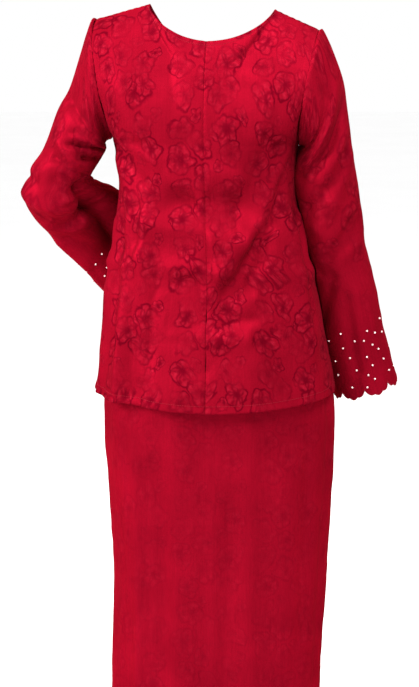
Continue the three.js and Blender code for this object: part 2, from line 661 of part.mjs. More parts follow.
// A sleeve's cloth lies against the tunic where it meets it: points are pushed straight out of the body
function clearOfTunic(point) {
  const turn = turnAt(point.z);
  const local = point.clone().applyAxisAngle(UPWARDS, -turn);
  const angle = Math.atan2(Math.abs(local.x), local.y);
  const onTunic = ovalPoint(tunicCurves, TUNIC_SQUARE, Math.sign(local.x), angle, local.z);
  const cloth = pushedByFolds(onTunic, tunicFolds);
  const gap = local.x > 0 ? SLEEVE_GAP.left : SLEEVE_GAP.right;
  const needed = Math.hypot(cloth.x, cloth.y) + gap;
  const reach = Math.hypot(local.x, local.y);
  const push = Math.max(1, needed / reach);
  return new THREE.Vector3(local.x * push, local.y * push, local.z).applyAxisAngle(UPWARDS, turn);
}

function makeSleeve(name, loop, rings, folds, material) {
  const surface = sleeveSurface(loop, rings, sleeveFoldLines(folds));
  const columns = loop.length;
  const centreOf = (ring) =>
    ring.reduce((sum, point) => sum.add(point), new THREE.Vector3()).divideScalar(ring.length);
  const step = NORMAL_REACH / SLEEVE_ROWS;
  const normalAt = (turn, end, centre) => {
    const at = THREE.MathUtils.clamp(end, step, 1 - step);
    const round = surface(turn + step, at).sub(surface(turn - step, at));
    const down = surface(turn, at + step).sub(surface(turn, at - step));
    const normal = round.cross(down).normalize();
    return normal.dot(surface(turn, at).sub(centre)) < 0 ? normal.negate() : normal;
  };
  const outer = [];
  const inner = [];
  const addRing = (count, at, reach) => {
    const turns = Array.from({ length: count }, (_, k) => (k * 2 * Math.PI) / count);
    const ring = turns.map((turn) => surface(turn, at));
    const centre = centreOf(ring);
    const normals = turns.map((turn) => normalAt(turn, at, centre));
    turns.forEach((turn, k) => {
      const down = surface(turn, 1).sub(surface(turn, 1 - HEM_RUN)).normalize();
      ring[k].addScaledVector(down, reach(turn));
    });
    outer.push(ring);
    inner.push(ring.map((point, k) => point.clone().addScaledVector(normals[k], -WALL)));
    return normals;
  };
  const plain = () => 0;
  const armholeNormals = addRing(columns, 0, plain);
  seatOnArmhole(outer[0], inner[0], armholeNormals, loop);
  for (let row = 1; row < SLEEVE_ROWS; row++)
    addRing(columns, (row / SLEEVE_ROWS) ** SLEEVE_CROWDING, plain);
  addRing(columns * CUFF_SPLIT, CUFF_ROW, plain);
  addRing(columns * CUFF_SPLIT, 1, scallopReach);
  return tubeSolid(name, outer, inner, material);
}

// The first ring follows the armhole across the seam's gap. Its wall stands parallel to the panel's edge,
// or leans away from it.
function seatOnArmhole(outer, inner, normals, loop) {
  loop.forEach(({ point, normal, across }, k) => {
    const lean = Math.min(0, normals[k].dot(across));
    const upright = Math.max(0, normals[k].dot(normal));
    const thick = normal.clone().multiplyScalar(upright).addScaledVector(across, lean).normalize();
    outer[k] = point.clone().addScaledVector(across, SEAM_GAP).addScaledVector(normal, -lean * SEAM_GAP);
    inner[k] = outer[k].clone().addScaledVector(thick, -WALL);
  });
}

// Skirt ---------------------------------------------------------------------------------------------

// Points round one half of the skirt, from the left side seam to the right one
function halfRing(face, level, columns) {
  const ring = [];
  for (let k = -columns; k <= columns; k++) {
    const fromCentre = (Math.abs(k) / columns) * QUARTER_TURN;
    const angle = face === BACK ? fromCentre : HALF_TURN - fromCentre;
    ring.push(skirtPoint(k <= 0 ? LEFT : RIGHT, angle, level));
  }
  return ring;
}

// Points moved towards the inside of a ring or panel that surrounds the Z axis, level by level
function insideOf(ring, wall, closed) {
  const last = ring.length - 1;
  return ring.map((point, k) => {
    const before = ring[closed ? (k + last) % ring.length : Math.max(k - 1, 0)];
    const after = ring[closed ? (k + 1) % ring.length : Math.min(k + 1, last)];
    const along = after.clone().sub(before);
    // At a side seam the cloth runs straight to the back or front
    if (!closed && (k === 0 || k === last)) along.set(0, Math.sign(along.y), 0);
    const inwards = new THREE.Vector3(-along.y, along.x, 0).normalize();
    if (inwards.dot(point) > 0) inwards.negate();
    return point.clone().addScaledVector(inwards, wall);
  });
}

function makeSkirtPanel(name, face, material) {
  const top = SKIRT_TOP - BAND_HEIGHT - SEAM_GAP;
  const outer = [];
  const inner = [];
  for (let row = 0; row <= SKIRT_ROWS; row++) {
    const level = lerp(SKIRT_HEM, top, (row / SKIRT_ROWS) ** SKIRT_CROWDING);
    const ring = halfRing(face, level, QUARTER_COLUMNS);
    outer.push(ring);
    inner.push(insideOf(ring, WALL, false));
  }
  for (const grid of [outer, inner]) {
    openSeam(grid.map((row) => row[0]), grid.map((row) => row[1]));
    openSeam(grid.map((row) => row.at(-1)), grid.map((row) => row.at(-2)));
  }
  return panelSolid(name, outer, inner, material);
}

function makeWaistband(material) {
  const ringAt = (level) => [
    ...halfRing(BACK, level, QUARTER_COLUMNS),
    ...halfRing(FRONT, level, QUARTER_COLUMNS).toReversed().slice(1, -1),
  ];
  const outer = [SKIRT_TOP, SKIRT_TOP - BAND_HEIGHT].map(ringAt);
  const inner = outer.map((ring) => insideOf(ring, BAND_WALL, true));
  return tubeSolid("skirt_waistband", outer, inner, material);
}

// Colours -------------------------------------------------------------------------------------------

function clothMaterial(colour) {
  return new THREE.MeshStandardMaterial({ color: colour, roughness: 0.62, metalness: 0 });
}
const tunicCloth = clothMaterial("#b60c2a");
const sleeveCloth = clothMaterial("#b00a28");
const skirtCloth = clothMaterial("#ac0825");

const baju = new THREE.Group();
const tunic = makeTunic(tunicCloth);
baju.add(
  ...tunic.pieces,
  makeSleeve("sleeve_left", tunic.armholes.left, LEFT_SLEEVE, LEFT_SLEEVE_FOLDS, sleeveCloth),
  makeSleeve("sleeve_right", tunic.armholes.right, RIGHT_SLEEVE, RIGHT_SLEEVE_FOLDS, sleeveCloth),
  makeSkirtPanel("skirt_back", BACK, skirtCloth),
  makeSkirtPanel("skirt_front", FRONT, skirtCloth),
  makeWaistband(skirtCloth),
);

export default baju;
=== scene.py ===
"""A modern baju kurung in red jacquard: a fitted tunic with pearl-trimmed sleeves over a long straight skirt.

Each cloth piece is a surface worked out from the garment's own sizes and given a thin wall. It stands for
the frame's rigid piece of the same place. Sizes are in millimetres until a mesh is made, with +Z up, the
wearer's front towards -Y and the wearer's left towards +X. The origin is the middle of the neck opening.
"""

import math
from collections import namedtuple

import bpy
import numpy as np
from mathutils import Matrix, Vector


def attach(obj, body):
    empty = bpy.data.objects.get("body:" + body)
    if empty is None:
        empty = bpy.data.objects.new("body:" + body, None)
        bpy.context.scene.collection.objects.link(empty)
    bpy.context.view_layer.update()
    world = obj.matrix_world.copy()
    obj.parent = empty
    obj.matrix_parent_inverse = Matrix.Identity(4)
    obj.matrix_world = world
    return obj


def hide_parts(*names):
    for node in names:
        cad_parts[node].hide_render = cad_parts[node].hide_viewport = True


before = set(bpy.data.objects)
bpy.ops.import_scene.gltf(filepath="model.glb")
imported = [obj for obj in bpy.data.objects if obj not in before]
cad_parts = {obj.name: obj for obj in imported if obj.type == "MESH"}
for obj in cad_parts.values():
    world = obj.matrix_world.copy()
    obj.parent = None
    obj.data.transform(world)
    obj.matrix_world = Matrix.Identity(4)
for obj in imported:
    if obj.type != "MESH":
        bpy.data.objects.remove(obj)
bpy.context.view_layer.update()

# Sizes ------------------------------------------------------------------------

MM = 0.001
LEFT, RIGHT = 1, -1
BACK, FRONT = 1, -1
SIDE_NAMES = {LEFT: "left", RIGHT: "right"}
FACE_NAMES = {BACK: "back", FRONT: "front"}
QUARTER_TURN, HALF_TURN, FULL_TURN = math.pi / 2, math.pi, 2 * math.pi

CLOTH = 1.0  # thickness of the jacquard
HEM_LEVEL = {BACK: -611, FRONT: -604}  # the tunic's hem in the middle
HEM_SEAM_LEVEL = {LEFT: -597, RIGHT: -599}  # and at its side seams
NECK_HALF, NECK_LEVEL = 97, -2
NECK_DEPTH, NECK_DROP = {BACK: 66, FRONT: 78}, {BACK: 50, FRONT: 88}
SHOULDER_TIP, SHOULDER_LEVEL, SHOULDER_Y = {LEFT: 180, RIGHT: 165}, -29, 4
ARM_LEVEL = -205  # the underarm
ARMHOLE_DEPTH, ARMHOLE_ROUND, ARMHOLE_SKEW = {BACK: 74, FRONT: 62}, 0.6, 0.9
CENTRE_SLOPES = {BACK: ((12, -70), (150, 130)), FRONT: ((-8, -48), (117, 105))}  # of y and of z, at both ends
TUNIC_SQUARE, SKIRT_SQUARE = 2.35, 2.25  # the ovals' exponents: 2 is an ellipse and more is boxier

SHOULDER_LIFT = 8  # the left shoulder goes up by this and the right one down
LIFT_FADES = (60, 300)  # below the neck
SHOULDER_TURN = math.radians(-3.5)  # against the hips
TURN_FADES = (205, 450)  # below the neck

SKIRT_TOP, BAND_HEIGHT, SKIRT_HEM = -392, 32, -1300
HIP_RIGHT = 190  # the skirt's, which sets the tunic's there
SLEEVE_GAP = {LEFT: 4, RIGHT: 1.8}  # from the tunic to the sleeves, at the least
SKIRT_GAP = {LEFT: 3.5, RIGHT: 3.5}  # from the skirt to the tunic's outer face, at the least
SKIRT_GAP_FADES = 25  # the tunic starts to be kept clear this far above the skirt's top
SCALLOPS, SCALLOP_DEPTH, SCALLOP_ROUND = 8, 12, 0.7  # a lobe is fuller than a sine by its exponent
RIPPLES, RIPPLE_DEPTH = 3, 3  # in each lobe
HEM_RISE, HEM_RISE_TURN = 13, math.radians(35)  # the sleeve's hem rises on the arm's outer side

# Sections from the bottom up: how far the side seams, the back and the front are from the middle
Section = namedtuple("Section", "level left right back front")
TUNIC_SECTIONS = [
    Section(HEM_LEVEL[BACK], 190, 199, 141, 137),
    Section(-575, 182, HIP_RIGHT + 2.2, 135, 134),
    Section(-522, 177, 182, 126, 131),
    Section(-456, 173, 170, 113, 128),
    Section(-420, 167, 160, 106, 126),
    Section(-362, 156, 147, 98, 123),
    Section(-290, 147, 131, 94, 119),
    Section(-250, 148, 130, 95, 115),
    Section(ARM_LEVEL, 155, 135, 98, 111),
]
SKIRT_SECTIONS = [
    Section(SKIRT_HEM, 171, 178, 98, 104),
    Section(-1200, 170, 179, 98, 105),
    Section(-1060, 167, 182, 100, 106),
    Section(-960, 163.5, 186.5, 103, 108),
    Section(-878, 163, 190, 107, 110),
    Section(-780, 168, 195, 114, 113),
    Section(-700, 172, 198, 122, 116),
    Section(-640, 173, 198, 127, 118),
    Section(-575, 171, HIP_RIGHT, 126, 119),
    Section(-500, 162, 170, 115, 115),
    Section(-440, 148, 147, 102, 107),
    Section(SKIRT_TOP, 128, 122, 90, 96),
]

# Folds run from one angle and level to another. Angles are in degrees from the centre back, plus to the
# wearer's left, and a minus height is a trough. "bend" bows the fold sideways and "lean" makes one flank
# steeper than the other.
Fold = namedtuple("Fold", "from_angle from_level to_angle to_level width height bend lean", defaults=(0, 0))


def fold_rows(*rows):
    return [Fold(*row) for row in rows]


TUNIC_FOLDS = fold_rows(
    (72, -235, 52, -360, 16, 4), (52, -380, 56, -640, 15, 6), (40, -400, 42, -640, 15, -4),
    (26, -296, -32, -300, 28, -5), (-45, -352, -12, -468, 16, -7), (-22, -352, -4, -430, 20, 4),
    (-62, -222, -32, -320, 30, -6), (-70, -340, -66, -520, 18, 5), (22, -430, 16, -500, 32, -5),
    (-34, -480, -30, -560, 30, 4), (148, -330, 152, -640, 20, -6), (128, -300, 126, -640, 18, 6),
    (172, -380, 176, -640, 20, 5), (-150, -310, -154, -640, 20, -6), (-126, -290, -124, -520, 18, 5),
    (112, -240, 140, -330, 20, -4), (-112, -240, -140, -330, 20, -4),
)
SKIRT_FOLDS = fold_rows(
    (58, -640, 54, -1320, 16, 3.5), (38, -700, 40, -1320, 18, -3), (-52, -690, -58, -1320, 18, 3),
    (-20, -760, -14, -1320, 24, -3), (148, -620, 150, -1320, 20, -4), (-142, -640, -150, -1320, 20, 4),
    (176, -700, 172, -1320, 22, 3),
)
TUNIC_CREASES = fold_rows(
    (-56, -322, -14, -436, 13, -8, -9, 0.35),  # the long crease from the right flank to the waist
    (-46, -318, -12, -392, 16, 6.5, -6), (-44, -306, -6, -286, 15, -6.5, 6),
    (-38, -262, -10, -244, 13, 5), (30, -284, 14, -300, 15, -6.5), (50, -326, 6, -336, 15, 6),
    (-6, -340, -8, -396, 13, 5), (38, -378, 8, -420, 24, -6.5, 6), (-14, -446, -34, -438, 14, 6.5),
    (-3, -466, -34, -468, 9, -6.5, 3), (-6, -500, -26, -498, 14, 6), (22, -494, 3, -492, 15, 5),
    (24, -524, 0, -536, 16, -5), (-40, -500, -54, -560, 24, -6), (36, -300, 18, -288, 20, -5),
    (-4, -352, -32, -350, 20, 4.5), (50, -376, 12, -392, 16, 5, 5), (44, -446, 6, -458, 20, -6, -5),
    (36, -512, 10, -548, 24, -4), (48, -330, 41, -560, 7, 4.5), (56, -300, 47, -590, 6, -4.5),
    (63, -325, 52, -600, 6, 4), (70, -290, 62, -520, 7, -4), (78, -330, 70, -600, 8, 3.5),
    (-86, -322, -78, -400, 8, 4.5), (-76, -395, -73, -460, 7, 4.5), (-80, -300, -70, -480, 9, -4.5),
    (-66, -270, -58, -330, 11, -4.5), (-53, -205, -40, -262, 20, -5), (-72, -215, -50, -300, 9, 4),
    (74, -215, 52, -262, 11, -4.5), (64, -205, 40, -236, 10, 4), (36, -120, 16, -196, 26, -4),
    (-34, -110, -18, -200, 26, 3.5), (58, -96, 50, -190, 13, 3.5), (-58, -100, -50, -188, 13, -3.5),
    (128, -250, 158, -300, 13, 6), (150, -300, 172, -340, 15, -6.5), (-122, -240, -156, -296, 13, 6),
    (-148, -306, -174, -350, 15, -6.5), (166, -380, -176, -420, 15, 5), (136, -380, 140, -600, 8, 4.5),
    (-138, -360, -140, -600, 8, -4.5), (160, -420, 162, -610, 10, 4.5),
    (-166, -430, -164, -610, 10, 4.5), (112, -300, 108, -560, 8, 4), (-104, -300, -106, -560, 8, -4),
    (120, -210, 150, -180, 14, -4), (-120, -210, -150, -176, 14, 4),
)
SKIRT_CREASES = fold_rows(
    (-75, -560, -78, -1320, 4.5, -2.6), (-82, -600, -84, -1320, 7, 1.6), (49, -600, 57, -1320, 5, 1.8),
    (54, -640, 63, -1320, 5, -1.8), (44, -700, 52, -1250, 6, -1.5), (64, -620, 72, -1320, 7, 1.8),
    (30, -640, 36, -980, 16, -2.6), (-30, -640, -36, -1080, 18, 2.4), (4, -660, 2, -1120, 20, -2),
    (-62, -640, -66, -1000, 9, -2), (126, -600, 130, -1320, 9, 2.4), (-128, -610, -132, -1320, 9, -2.4),
    (160, -640, 166, -1200, 14, -2.4), (-166, -680, -160, -1320, 14, 2.4),
)
FOLD_RADIUS = 150  # turns a fold's angle into millimetres on the cloth
LARGE_FOLDS = 1.5  # the cloth's large folds stand higher than the rigid wall's

# Rings of the sleeves after the armhole: where each crosses the outer and the inner line of the arm, and half
# its depth across them. "at" is the share of the way down the sleeve.
Ring = namedtuple("Ring", "at outer inner half")
RIGHT_SLEEVE = [
    Ring(0.1, (-197, 11, -98), (-146, 6, -213), 62),
    Ring(0.2, (-211, 5, -165), (-136, 0, -232), 57),
    Ring(0.32, (-222, -5, -235), (-130, -10, -262), 55),
    Ring(0.44, (-233, -17, -307), (-136, -20, -325), 53),
    Ring(0.56, (-244, -29, -377), (-150, -31, -394), 51),
    Ring(0.67, (-259, -40, -440), (-167, -42, -456), 50),
    Ring(0.78, (-273, -50, -502), (-179, -51, -518), 49),
    Ring(0.89, (-287, -58, -556), (-190, -58, -572), 49),
    Ring(1, (-298, -63, -598), (-199, -63, -612), 50),
]
LEFT_SLEEVE = [
    Ring(0.1, (216, -5, -106), (168, -8, -211), 62),
    Ring(0.2, (243, -1, -164), (168, -5, -222), 57),
    Ring(0.3, (265, 3, -220), (180, 0, -243), 54),
    Ring(0.38, (286, 8, -252), (189, 4, -258), 50),
    Ring(0.46, (299, 6, -290), (192, -1, -274), 46),
    Ring(0.54, (290, -14, -325), (180, -24, -281), 45),
    Ring(0.64, (262, -44, -366), (160, -54, -289), 44),
    Ring(0.76, (230, -78, -410), (132, -88, -316), 41),
    Ring(0.88, (200, -113, -457), (100, -122, -361), 40),
    Ring(1, (168, -148, -500), (64, -158, -406), 40),
]
CAP_AT = 0.025  # here the sleeve's cloth has left the armhole
CAP_STEP = (6, -1)  # it leaves straight out from the body at the shoulder
UNDERARM_STEPS = {LEFT: (4, -3), RIGHT: (0.5, -6)}  # and down along it at the underarm
UNDERARM_SHARP = 5  # how soon the one gives way to the other round the armhole

PRESS = 6  # the right sleeve's inner line lies against the tunic, this much nearer than in its rings
PRESSED_SLEEVE = [ring._replace(inner=(ring.inner[0] + PRESS, *ring.inner[1:])) for ring in RIGHT_SLEEVE]

# Folds of the sleeves: angles are degrees round the arm, 0 at the outer line, plus over the back, and levels
# are shares of the way down
RIGHT_SLEEVE_FOLDS = fold_rows(
    (40, 0.16, 130, 0.3, 14, -5), (30, 0.3, 110, 0.46, 14, 4), (30, 0.48, 120, 0.58, 14, -4),
    (-40, 0.2, -120, 0.34, 14, -5), (-60, 0.44, -140, 0.5, 14, -5), (70, 0.66, 80, 1.02, 16, 4),
    (-70, 0.6, -80, 1.02, 16, 4),
)
LEFT_SLEEVE_FOLDS = fold_rows(
    (12, 0.13, 80, 0.15, 13, -5), (90, 0.4, 145, 0.43, 14, -5), (80, 0.49, 140, 0.5, 14, 3),
    (70, 0.57, 140, 0.56, 14, -5), (-70, 0.62, -140, 0.6, 14, -4), (60, 0.24, 130, 0.36, 16, 4),
    (20, 0.66, 60, 1.02, 16, 4),
)
RIGHT_SLEEVE_CREASES = fold_rows(
    (100, 0.03, 72, 0.085, 7, -4.5), (74, 0.07, 150, 0.15, 9, -5.5, 5), (50, 0.1, 110, 0.2, 9, 4),
    (48, 0.17, 104, 0.29, 9, -5), (36, 0.22, 92, 0.33, 9, 4), (50, 0.32, 120, 0.4, 9, -4.5),
    (84, 0.39, 40, 0.44, 10, 4.5), (36, 0.45, 100, 0.54, 9, -4.5), (60, 0.54, 140, 0.6, 9, 4),
    (100, 0.6, 150, 0.74, 10, -4), (84, 0.66, 94, 0.9, 10, -3), (45, 0.7, 52, 1.0, 9, 3),
    (-100, 0.04, -60, 0.1, 9, -4.5), (-60, 0.12, -130, 0.24, 9, 4), (-40, 0.3, -110, 0.4, 9, -4.5),
    (-50, 0.42, -120, 0.52, 9, 4), (-90, 0.52, -140, 0.66, 9, -4), (-50, 0.7, -56, 1.0, 9, 3),
)
LEFT_SLEEVE_CREASES = fold_rows(
    (152, 0.44, 124, 0.59, 19, -24),  # the deep hollow where the forearm goes in front of the waist
    (124, 0.59, 98, 0.76, 20, -30), (86, 0.262, 165, 0.2, 7, -7), (86, 0.235, 160, 0.18, 8, 4),
    (125, 0.3, 160, 0.27, 12, -8), (60, 0.05, 100, 0.13, 9, 4), (64, 0.09, 30, 0.17, 10, -4.5),
    (84, 0.22, 130, 0.3, 9, -5), (60, 0.27, 116, 0.33, 9, 4.5), (70, 0.32, 150, 0.38, 8, -5),
    (-20, 0.4, 50, 0.41, 10, -5), (10, 0.45, 76, 0.47, 11, 4.5), (100, 0.46, 160, 0.47, 7, 4.5),
    (76, 0.53, 120, 0.54, 9, -4.5), (96, 0.6, 150, 0.59, 8, 4), (40, 0.56, 90, 0.62, 11, 4),
    (50, 0.64, 80, 0.78, 10, -4), (100, 0.66, 110, 0.86, 10, 3), (40, 0.8, 46, 1.0, 9, -3),
    (-60, 0.06, -110, 0.16, 10, -4.5), (-50, 0.22, -130, 0.32, 9, 4), (-80, 0.38, -150, 0.42, 8, -5),
    (-100, 0.47, -160, 0.49, 8, 4.5), (-70, 0.52, -140, 0.54, 8, -5), (-50, 0.66, -90, 0.8, 11, 4),
    (-60, 0.84, -64, 1.0, 9, -3),
)
SLEEVE_RADIUS, SLEEVE_LENGTH = 52, 600  # turn a sleeve fold's angle and level into millimetres


# Numbers ----------------------------------------------------------------------

def lerp(a, b, t):
    return a + (b - a) * t


def smooth(value, low, high):
    """0 below low, 1 above high, and the cubic 3t^2 - 2t^3 between them."""
    t = np.clip((value - low) / (high - low), 0, 1)
    return t * t * (3 - 2 * t)


def point(x, y, z):
    return np.stack(np.broadcast_arrays(x, y, z), axis=-1).astype(float)


def unit(vectors):
    return vectors / np.linalg.norm(vectors, axis=-1, keepdims=True)


def hermite(a, slope_a, b, slope_b, t):
    """The cubic from a to b over t = 0..1 with those slopes at its ends."""
    rest = 1 - t
    return (a * (1 + 2 * t) * rest**2 + slope_a * t * rest**2
            + b * t**2 * (3 - 2 * t) + slope_b * t**2 * (t - 1))


def curve_through(x, y):
    """A curve through points: a cubic in each gap, whose slope at a point is that of the line between the
    point's two neighbours. y may be an array of anything for each x. It is flat beyond both ends."""
    x, y = np.asarray(x, float), np.asarray(y, float)
    extra = (1,) * (y.ndim - 1)
    before = np.maximum(np.arange(len(x)) - 1, 0)
    after = np.minimum(np.arange(len(x)) + 1, len(x) - 1)
    slopes = (y[after] - y[before]) / (x[after] - x[before]).reshape((-1, *extra))

    def at(value):
        value = np.asarray(np.clip(value, x[0], x[-1]))
        shape = (*value.shape, *extra)
        i = np.clip(np.searchsorted(x, value, side="right") - 1, 0, len(x) - 2)
        span = (x[i + 1] - x[i]).reshape(shape)
        t = (value.reshape(shape) - x[i].reshape(shape)) / span
        return hermite(y[i], slopes[i] * span, y[i + 1], slopes[i + 1] * span, t)

    return at


def section_curves(sections):
    """A curve over the level for each column of a table of sections."""
    levels = [row.level for row in sections]
    return {side: curve_through(levels, [getattr(row, side) for row in sections])
            for side in (*SIDE_NAMES.values(), *FACE_NAMES.values())}


def fold_height(folds, x, y, across, along):
    """Sum over the folds of height * exp(-(distance / width)^2), the distance being that from the fold's
    line, bowed by bend * 4t(1 - t). across and along turn a fold's angle and level into millimetres."""
    total = np.zeros(np.broadcast(x, y).shape)
    for fold in folds:
        x0, y0 = fold.from_angle * across, fold.from_level * along
        step_x, step_y = fold.to_angle * across - x0, fold.to_level * along - y0
        length = math.hypot(step_x, step_y)
        t = ((x - x0) * step_x + (y - y0) * step_y) / length**2
        inside = np.clip(t, 0, 1)
        aside = ((y - y0) * step_x - (x - x0) * step_y) / length - fold.bend * 4 * inside * (1 - inside)
        width = fold.width * (1 + fold.lean * np.sign(aside))
        total += fold.height * np.exp(-(aside**2 + ((t - inside) * length) ** 2) / width**2)
    return total


SEED = 7
LATTICE, LATTICE_START = 64, 500  # random numbers each way, and the place in them where the cloth starts


def unevenness(u, v, size, seed):
    """Smooth random heights from -1 to 1: random numbers on a lattice of that size, joined by smooth."""
    lattice = np.random.default_rng(SEED + seed).uniform(-1, 1, (LATTICE, LATTICE))
    u, v = u / size + LATTICE_START, v / size + LATTICE_START
    i, j = np.floor(u).astype(int), np.floor(v).astype(int)
    s, t = smooth(u - i, 0, 1), smooth(v - j, 0, 1)

    def corner(right, up):
        return lattice[(i + right) % LATTICE, (j + up) % LATTICE]

    return lerp(lerp(corner(0, 0), corner(1, 0), s), lerp(corner(0, 1), corner(1, 1), s), t)


CROWD = np.array([0, 0.25, 0.55])  # where the crowded places lie, in shares of "close"
CROWD_ENDS = 0.8  # and where the evenly spaced ones take over


def crowded(count, close, near_start=True, near_end=True):
    """Places from 0 to 1, evenly spaced but for a few that crowd towards the ends, where seams are."""
    places = np.linspace(0, 1, count)
    if near_start:
        places = np.concatenate([CROWD * close, places[places > close * CROWD_ENDS]])
    if near_end:
        places = np.concatenate([places[places < 1 - close * CROWD_ENDS], 1 - CROWD[::-1] * close])
    return places


# Surfaces of the garment ------------------------------------------------------

tunic_curves = section_curves(TUNIC_SECTIONS)
skirt_curves = section_curves(SKIRT_SECTIONS)
DEGREE_WIDTH = math.radians(1) * FOLD_RADIUS
SLEEVE_DEGREE_WIDTH = math.radians(1) * SLEEVE_RADIUS
FOLDS_START = (0.02, 0.1)  # over this stretch of the sleeve its folds grow to their full height


def oval(curves, square, side, angle, level):
    """A boxy oval: radius = (|sin a / wide|^q + |cos a / deep|^q)^(-1/q), with a from 0 at the centre back to
    half a turn at the centre front."""
    angle, level = np.broadcast_arrays(np.asarray(angle, float), np.asarray(level, float))
    wide = curves[SIDE_NAMES[side]](level)
    deep = np.where(angle <= QUARTER_TURN, curves["back"](level), curves["front"](level))
    sin, cos = np.sin(angle), np.cos(angle)
    radius = (np.abs(sin / wide) ** square + np.abs(cos / deep) ** square) ** (-1 / square)
    return point(side * radius * sin, radius * cos, level)


def pushed_by_folds(points, folds, creases):
    """Moves points straight out from the Z axis by the folds' and the creases' heights."""
    angle = np.arctan2(points[..., 0], points[..., 1])
    place = angle * FOLD_RADIUS, points[..., 2], DEGREE_WIDTH, 1
    height = LARGE_FOLDS * fold_height(folds, *place) + fold_height(creases, *place)
    return points + height[..., None] * point(np.sin(angle), np.cos(angle), 0)


def tunic_body(side, angle, level):
    """The tunic below the underarm, or its ring there for all levels above: an oval with its folds."""
    body = oval(tunic_curves, TUNIC_SQUARE, side, angle, level)
    return pushed_by_folds(body, TUNIC_FOLDS, TUNIC_CREASES)


def skirt_surface(side, angle, level):
    """The skirt's outer surface: an oval with its folds."""
    body = oval(skirt_curves, SKIRT_SQUARE, side, angle, level)
    return pushed_by_folds(body, SKIRT_FOLDS, SKIRT_CREASES)


def pushed_clear(points, cloth_at, gap):
    """Points nearer to the Z axis than a cloth at the same angle and level, and a gap, are pushed straight
    out. The push is a factor on x and y."""
    angle = np.arctan2(np.abs(points[..., 0]), points[..., 1])
    reach = np.hypot(points[..., 0], points[..., 1])
    push = np.ones_like(reach)
    for side in (LEFT, RIGHT):
        inner = cloth_at(side, angle, points[..., 2])
        needed = np.hypot(inner[..., 0], inner[..., 1]) + gap[side]
        push = np.where(np.sign(points[..., 0]) == side, np.maximum(1, needed / reach), push)
    return push


def hem_level(side, angle):
    """The hem hangs lower in the middle than at the side seams: middle + (seam - middle) sin^2 a."""
    middle = np.where(np.cos(angle) > 0, HEM_LEVEL[BACK], HEM_LEVEL[FRONT])
    return lerp(middle, HEM_SEAM_LEVEL[side], np.sin(angle) ** 2)


NECK_SHARE = 8 / 14  # of the top edge: neckline before it, shoulder seam after it
CORNER_REACH, CORNER_FADES = 0.42, 3.5  # how far round the corner at the neck is softened, and how soon


def top_edge(side, face, share):
    """Neckline (half sin a, depth cos a, level - drop cos^1.5 a), then the straight shoulder seam."""
    turn = np.clip(share / NECK_SHARE, 0, 1) * QUARTER_TURN
    fall = np.clip(np.cos(turn), 0, 1)
    neck = point(side * NECK_HALF * np.sin(turn), face * NECK_DEPTH[face] * fall,
                 NECK_LEVEL - NECK_DROP[face] * fall**1.5)
    t = (share - NECK_SHARE) / (1 - NECK_SHARE)
    shoulder = point(side * lerp(NECK_HALF, SHOULDER_TIP[side], t), SHOULDER_Y * t,
                     lerp(NECK_LEVEL, SHOULDER_LEVEL, t))
    return np.where((share <= NECK_SHARE)[..., None], neck, shoulder)


def top_shape(side, face, share, rise):
    """The top edge as the cloth below it has it: its mean over a stretch that narrows towards the edge, so
    that the corner at the neck fades out downwards."""
    reach = np.minimum(np.minimum(share, 1 - share), CORNER_REACH) * np.minimum(1, (1 - rise) * CORNER_FADES)
    return sum(top_edge(side, face, share + part * reach) for part in (-1, -0.5, 0, 0.5, 1)) / 5


def armhole_edge(side, face, rise):
    """x and z climb from the underarm to the shoulder's tip by a blend of sin and (1 - cos) / 2, and y bulges
    by depth sin(pi t^skew)."""
    climb = lerp(np.sin(QUARTER_TURN * rise), (1 - np.cos(HALF_TURN * rise)) / 2, ARMHOLE_ROUND)
    underarm = tunic_curves[SIDE_NAMES[side]](float(ARM_LEVEL))
    return point(
        side * lerp(underarm, SHOULDER_TIP[side], climb),
        face * ARMHOLE_DEPTH[face] * np.sin(HALF_TURN * rise**ARMHOLE_SKEW) + SHOULDER_Y * rise,
        lerp(ARM_LEVEL, SHOULDER_LEVEL, climb),
    )


def centre_edge(face, rise):
    """Centre line from the underarm ring to the neckline, a cubic in y and one in z."""
    y_slopes, z_slopes = CENTRE_SLOPES[face]
    start = tunic_curves[FACE_NAMES[face]](float(ARM_LEVEL))
    y = hermite(start, y_slopes[0], NECK_DEPTH[face], y_slopes[1], rise)
    z = hermite(ARM_LEVEL, z_slopes[0], NECK_LEVEL - NECK_DROP[face], z_slopes[1], rise)
    return point(0, face * y, z)


def angle_at(face, share):
    """Angle from the centre back, for a share of the way from a centre line to a side."""
    return share * QUARTER_TURN if face == BACK else HALF_TURN - share * QUARTER_TURN


def yoke(side, face, share, rise):
    """Above the underarm a quarter fills its four edges: between ring and top by s = 3t^2 - 2t^3, plus
    between centre and armhole by share^2, less what the four corners give in both."""
    def below(place):
        return oval(tunic_curves, TUNIC_SQUARE, side, angle_at(face, place), ARM_LEVEL)

    none, all_of_it = np.zeros_like(share), np.ones_like(share)
    up, aside = smooth(rise, 0, 1)[..., None], (share**2)[..., None]
    up_down = lerp(below(share), top_shape(side, face, share, rise), up)
    across = lerp(centre_edge(face, rise), armhole_edge(side, face, rise), aside)
    centre, outer = (lerp(below(end), top_edge(side, face, end), up) for end in (none, all_of_it))
    return up_down + across - lerp(centre, outer, aside)


def turn_at(level):
    """The shoulders' turn about the Z axis, which fades out downwards."""
    return SHOULDER_TURN * (1 - smooth(-level, *TURN_FADES))


def turned(points, angle):
    """Turns points about the Z axis, each by its own angle."""
    x, y, z = points[..., 0], points[..., 1], points[..., 2]
    cos, sin = np.cos(angle), np.sin(angle)
    return point(x * cos - y * sin, x * sin + y * cos, z)


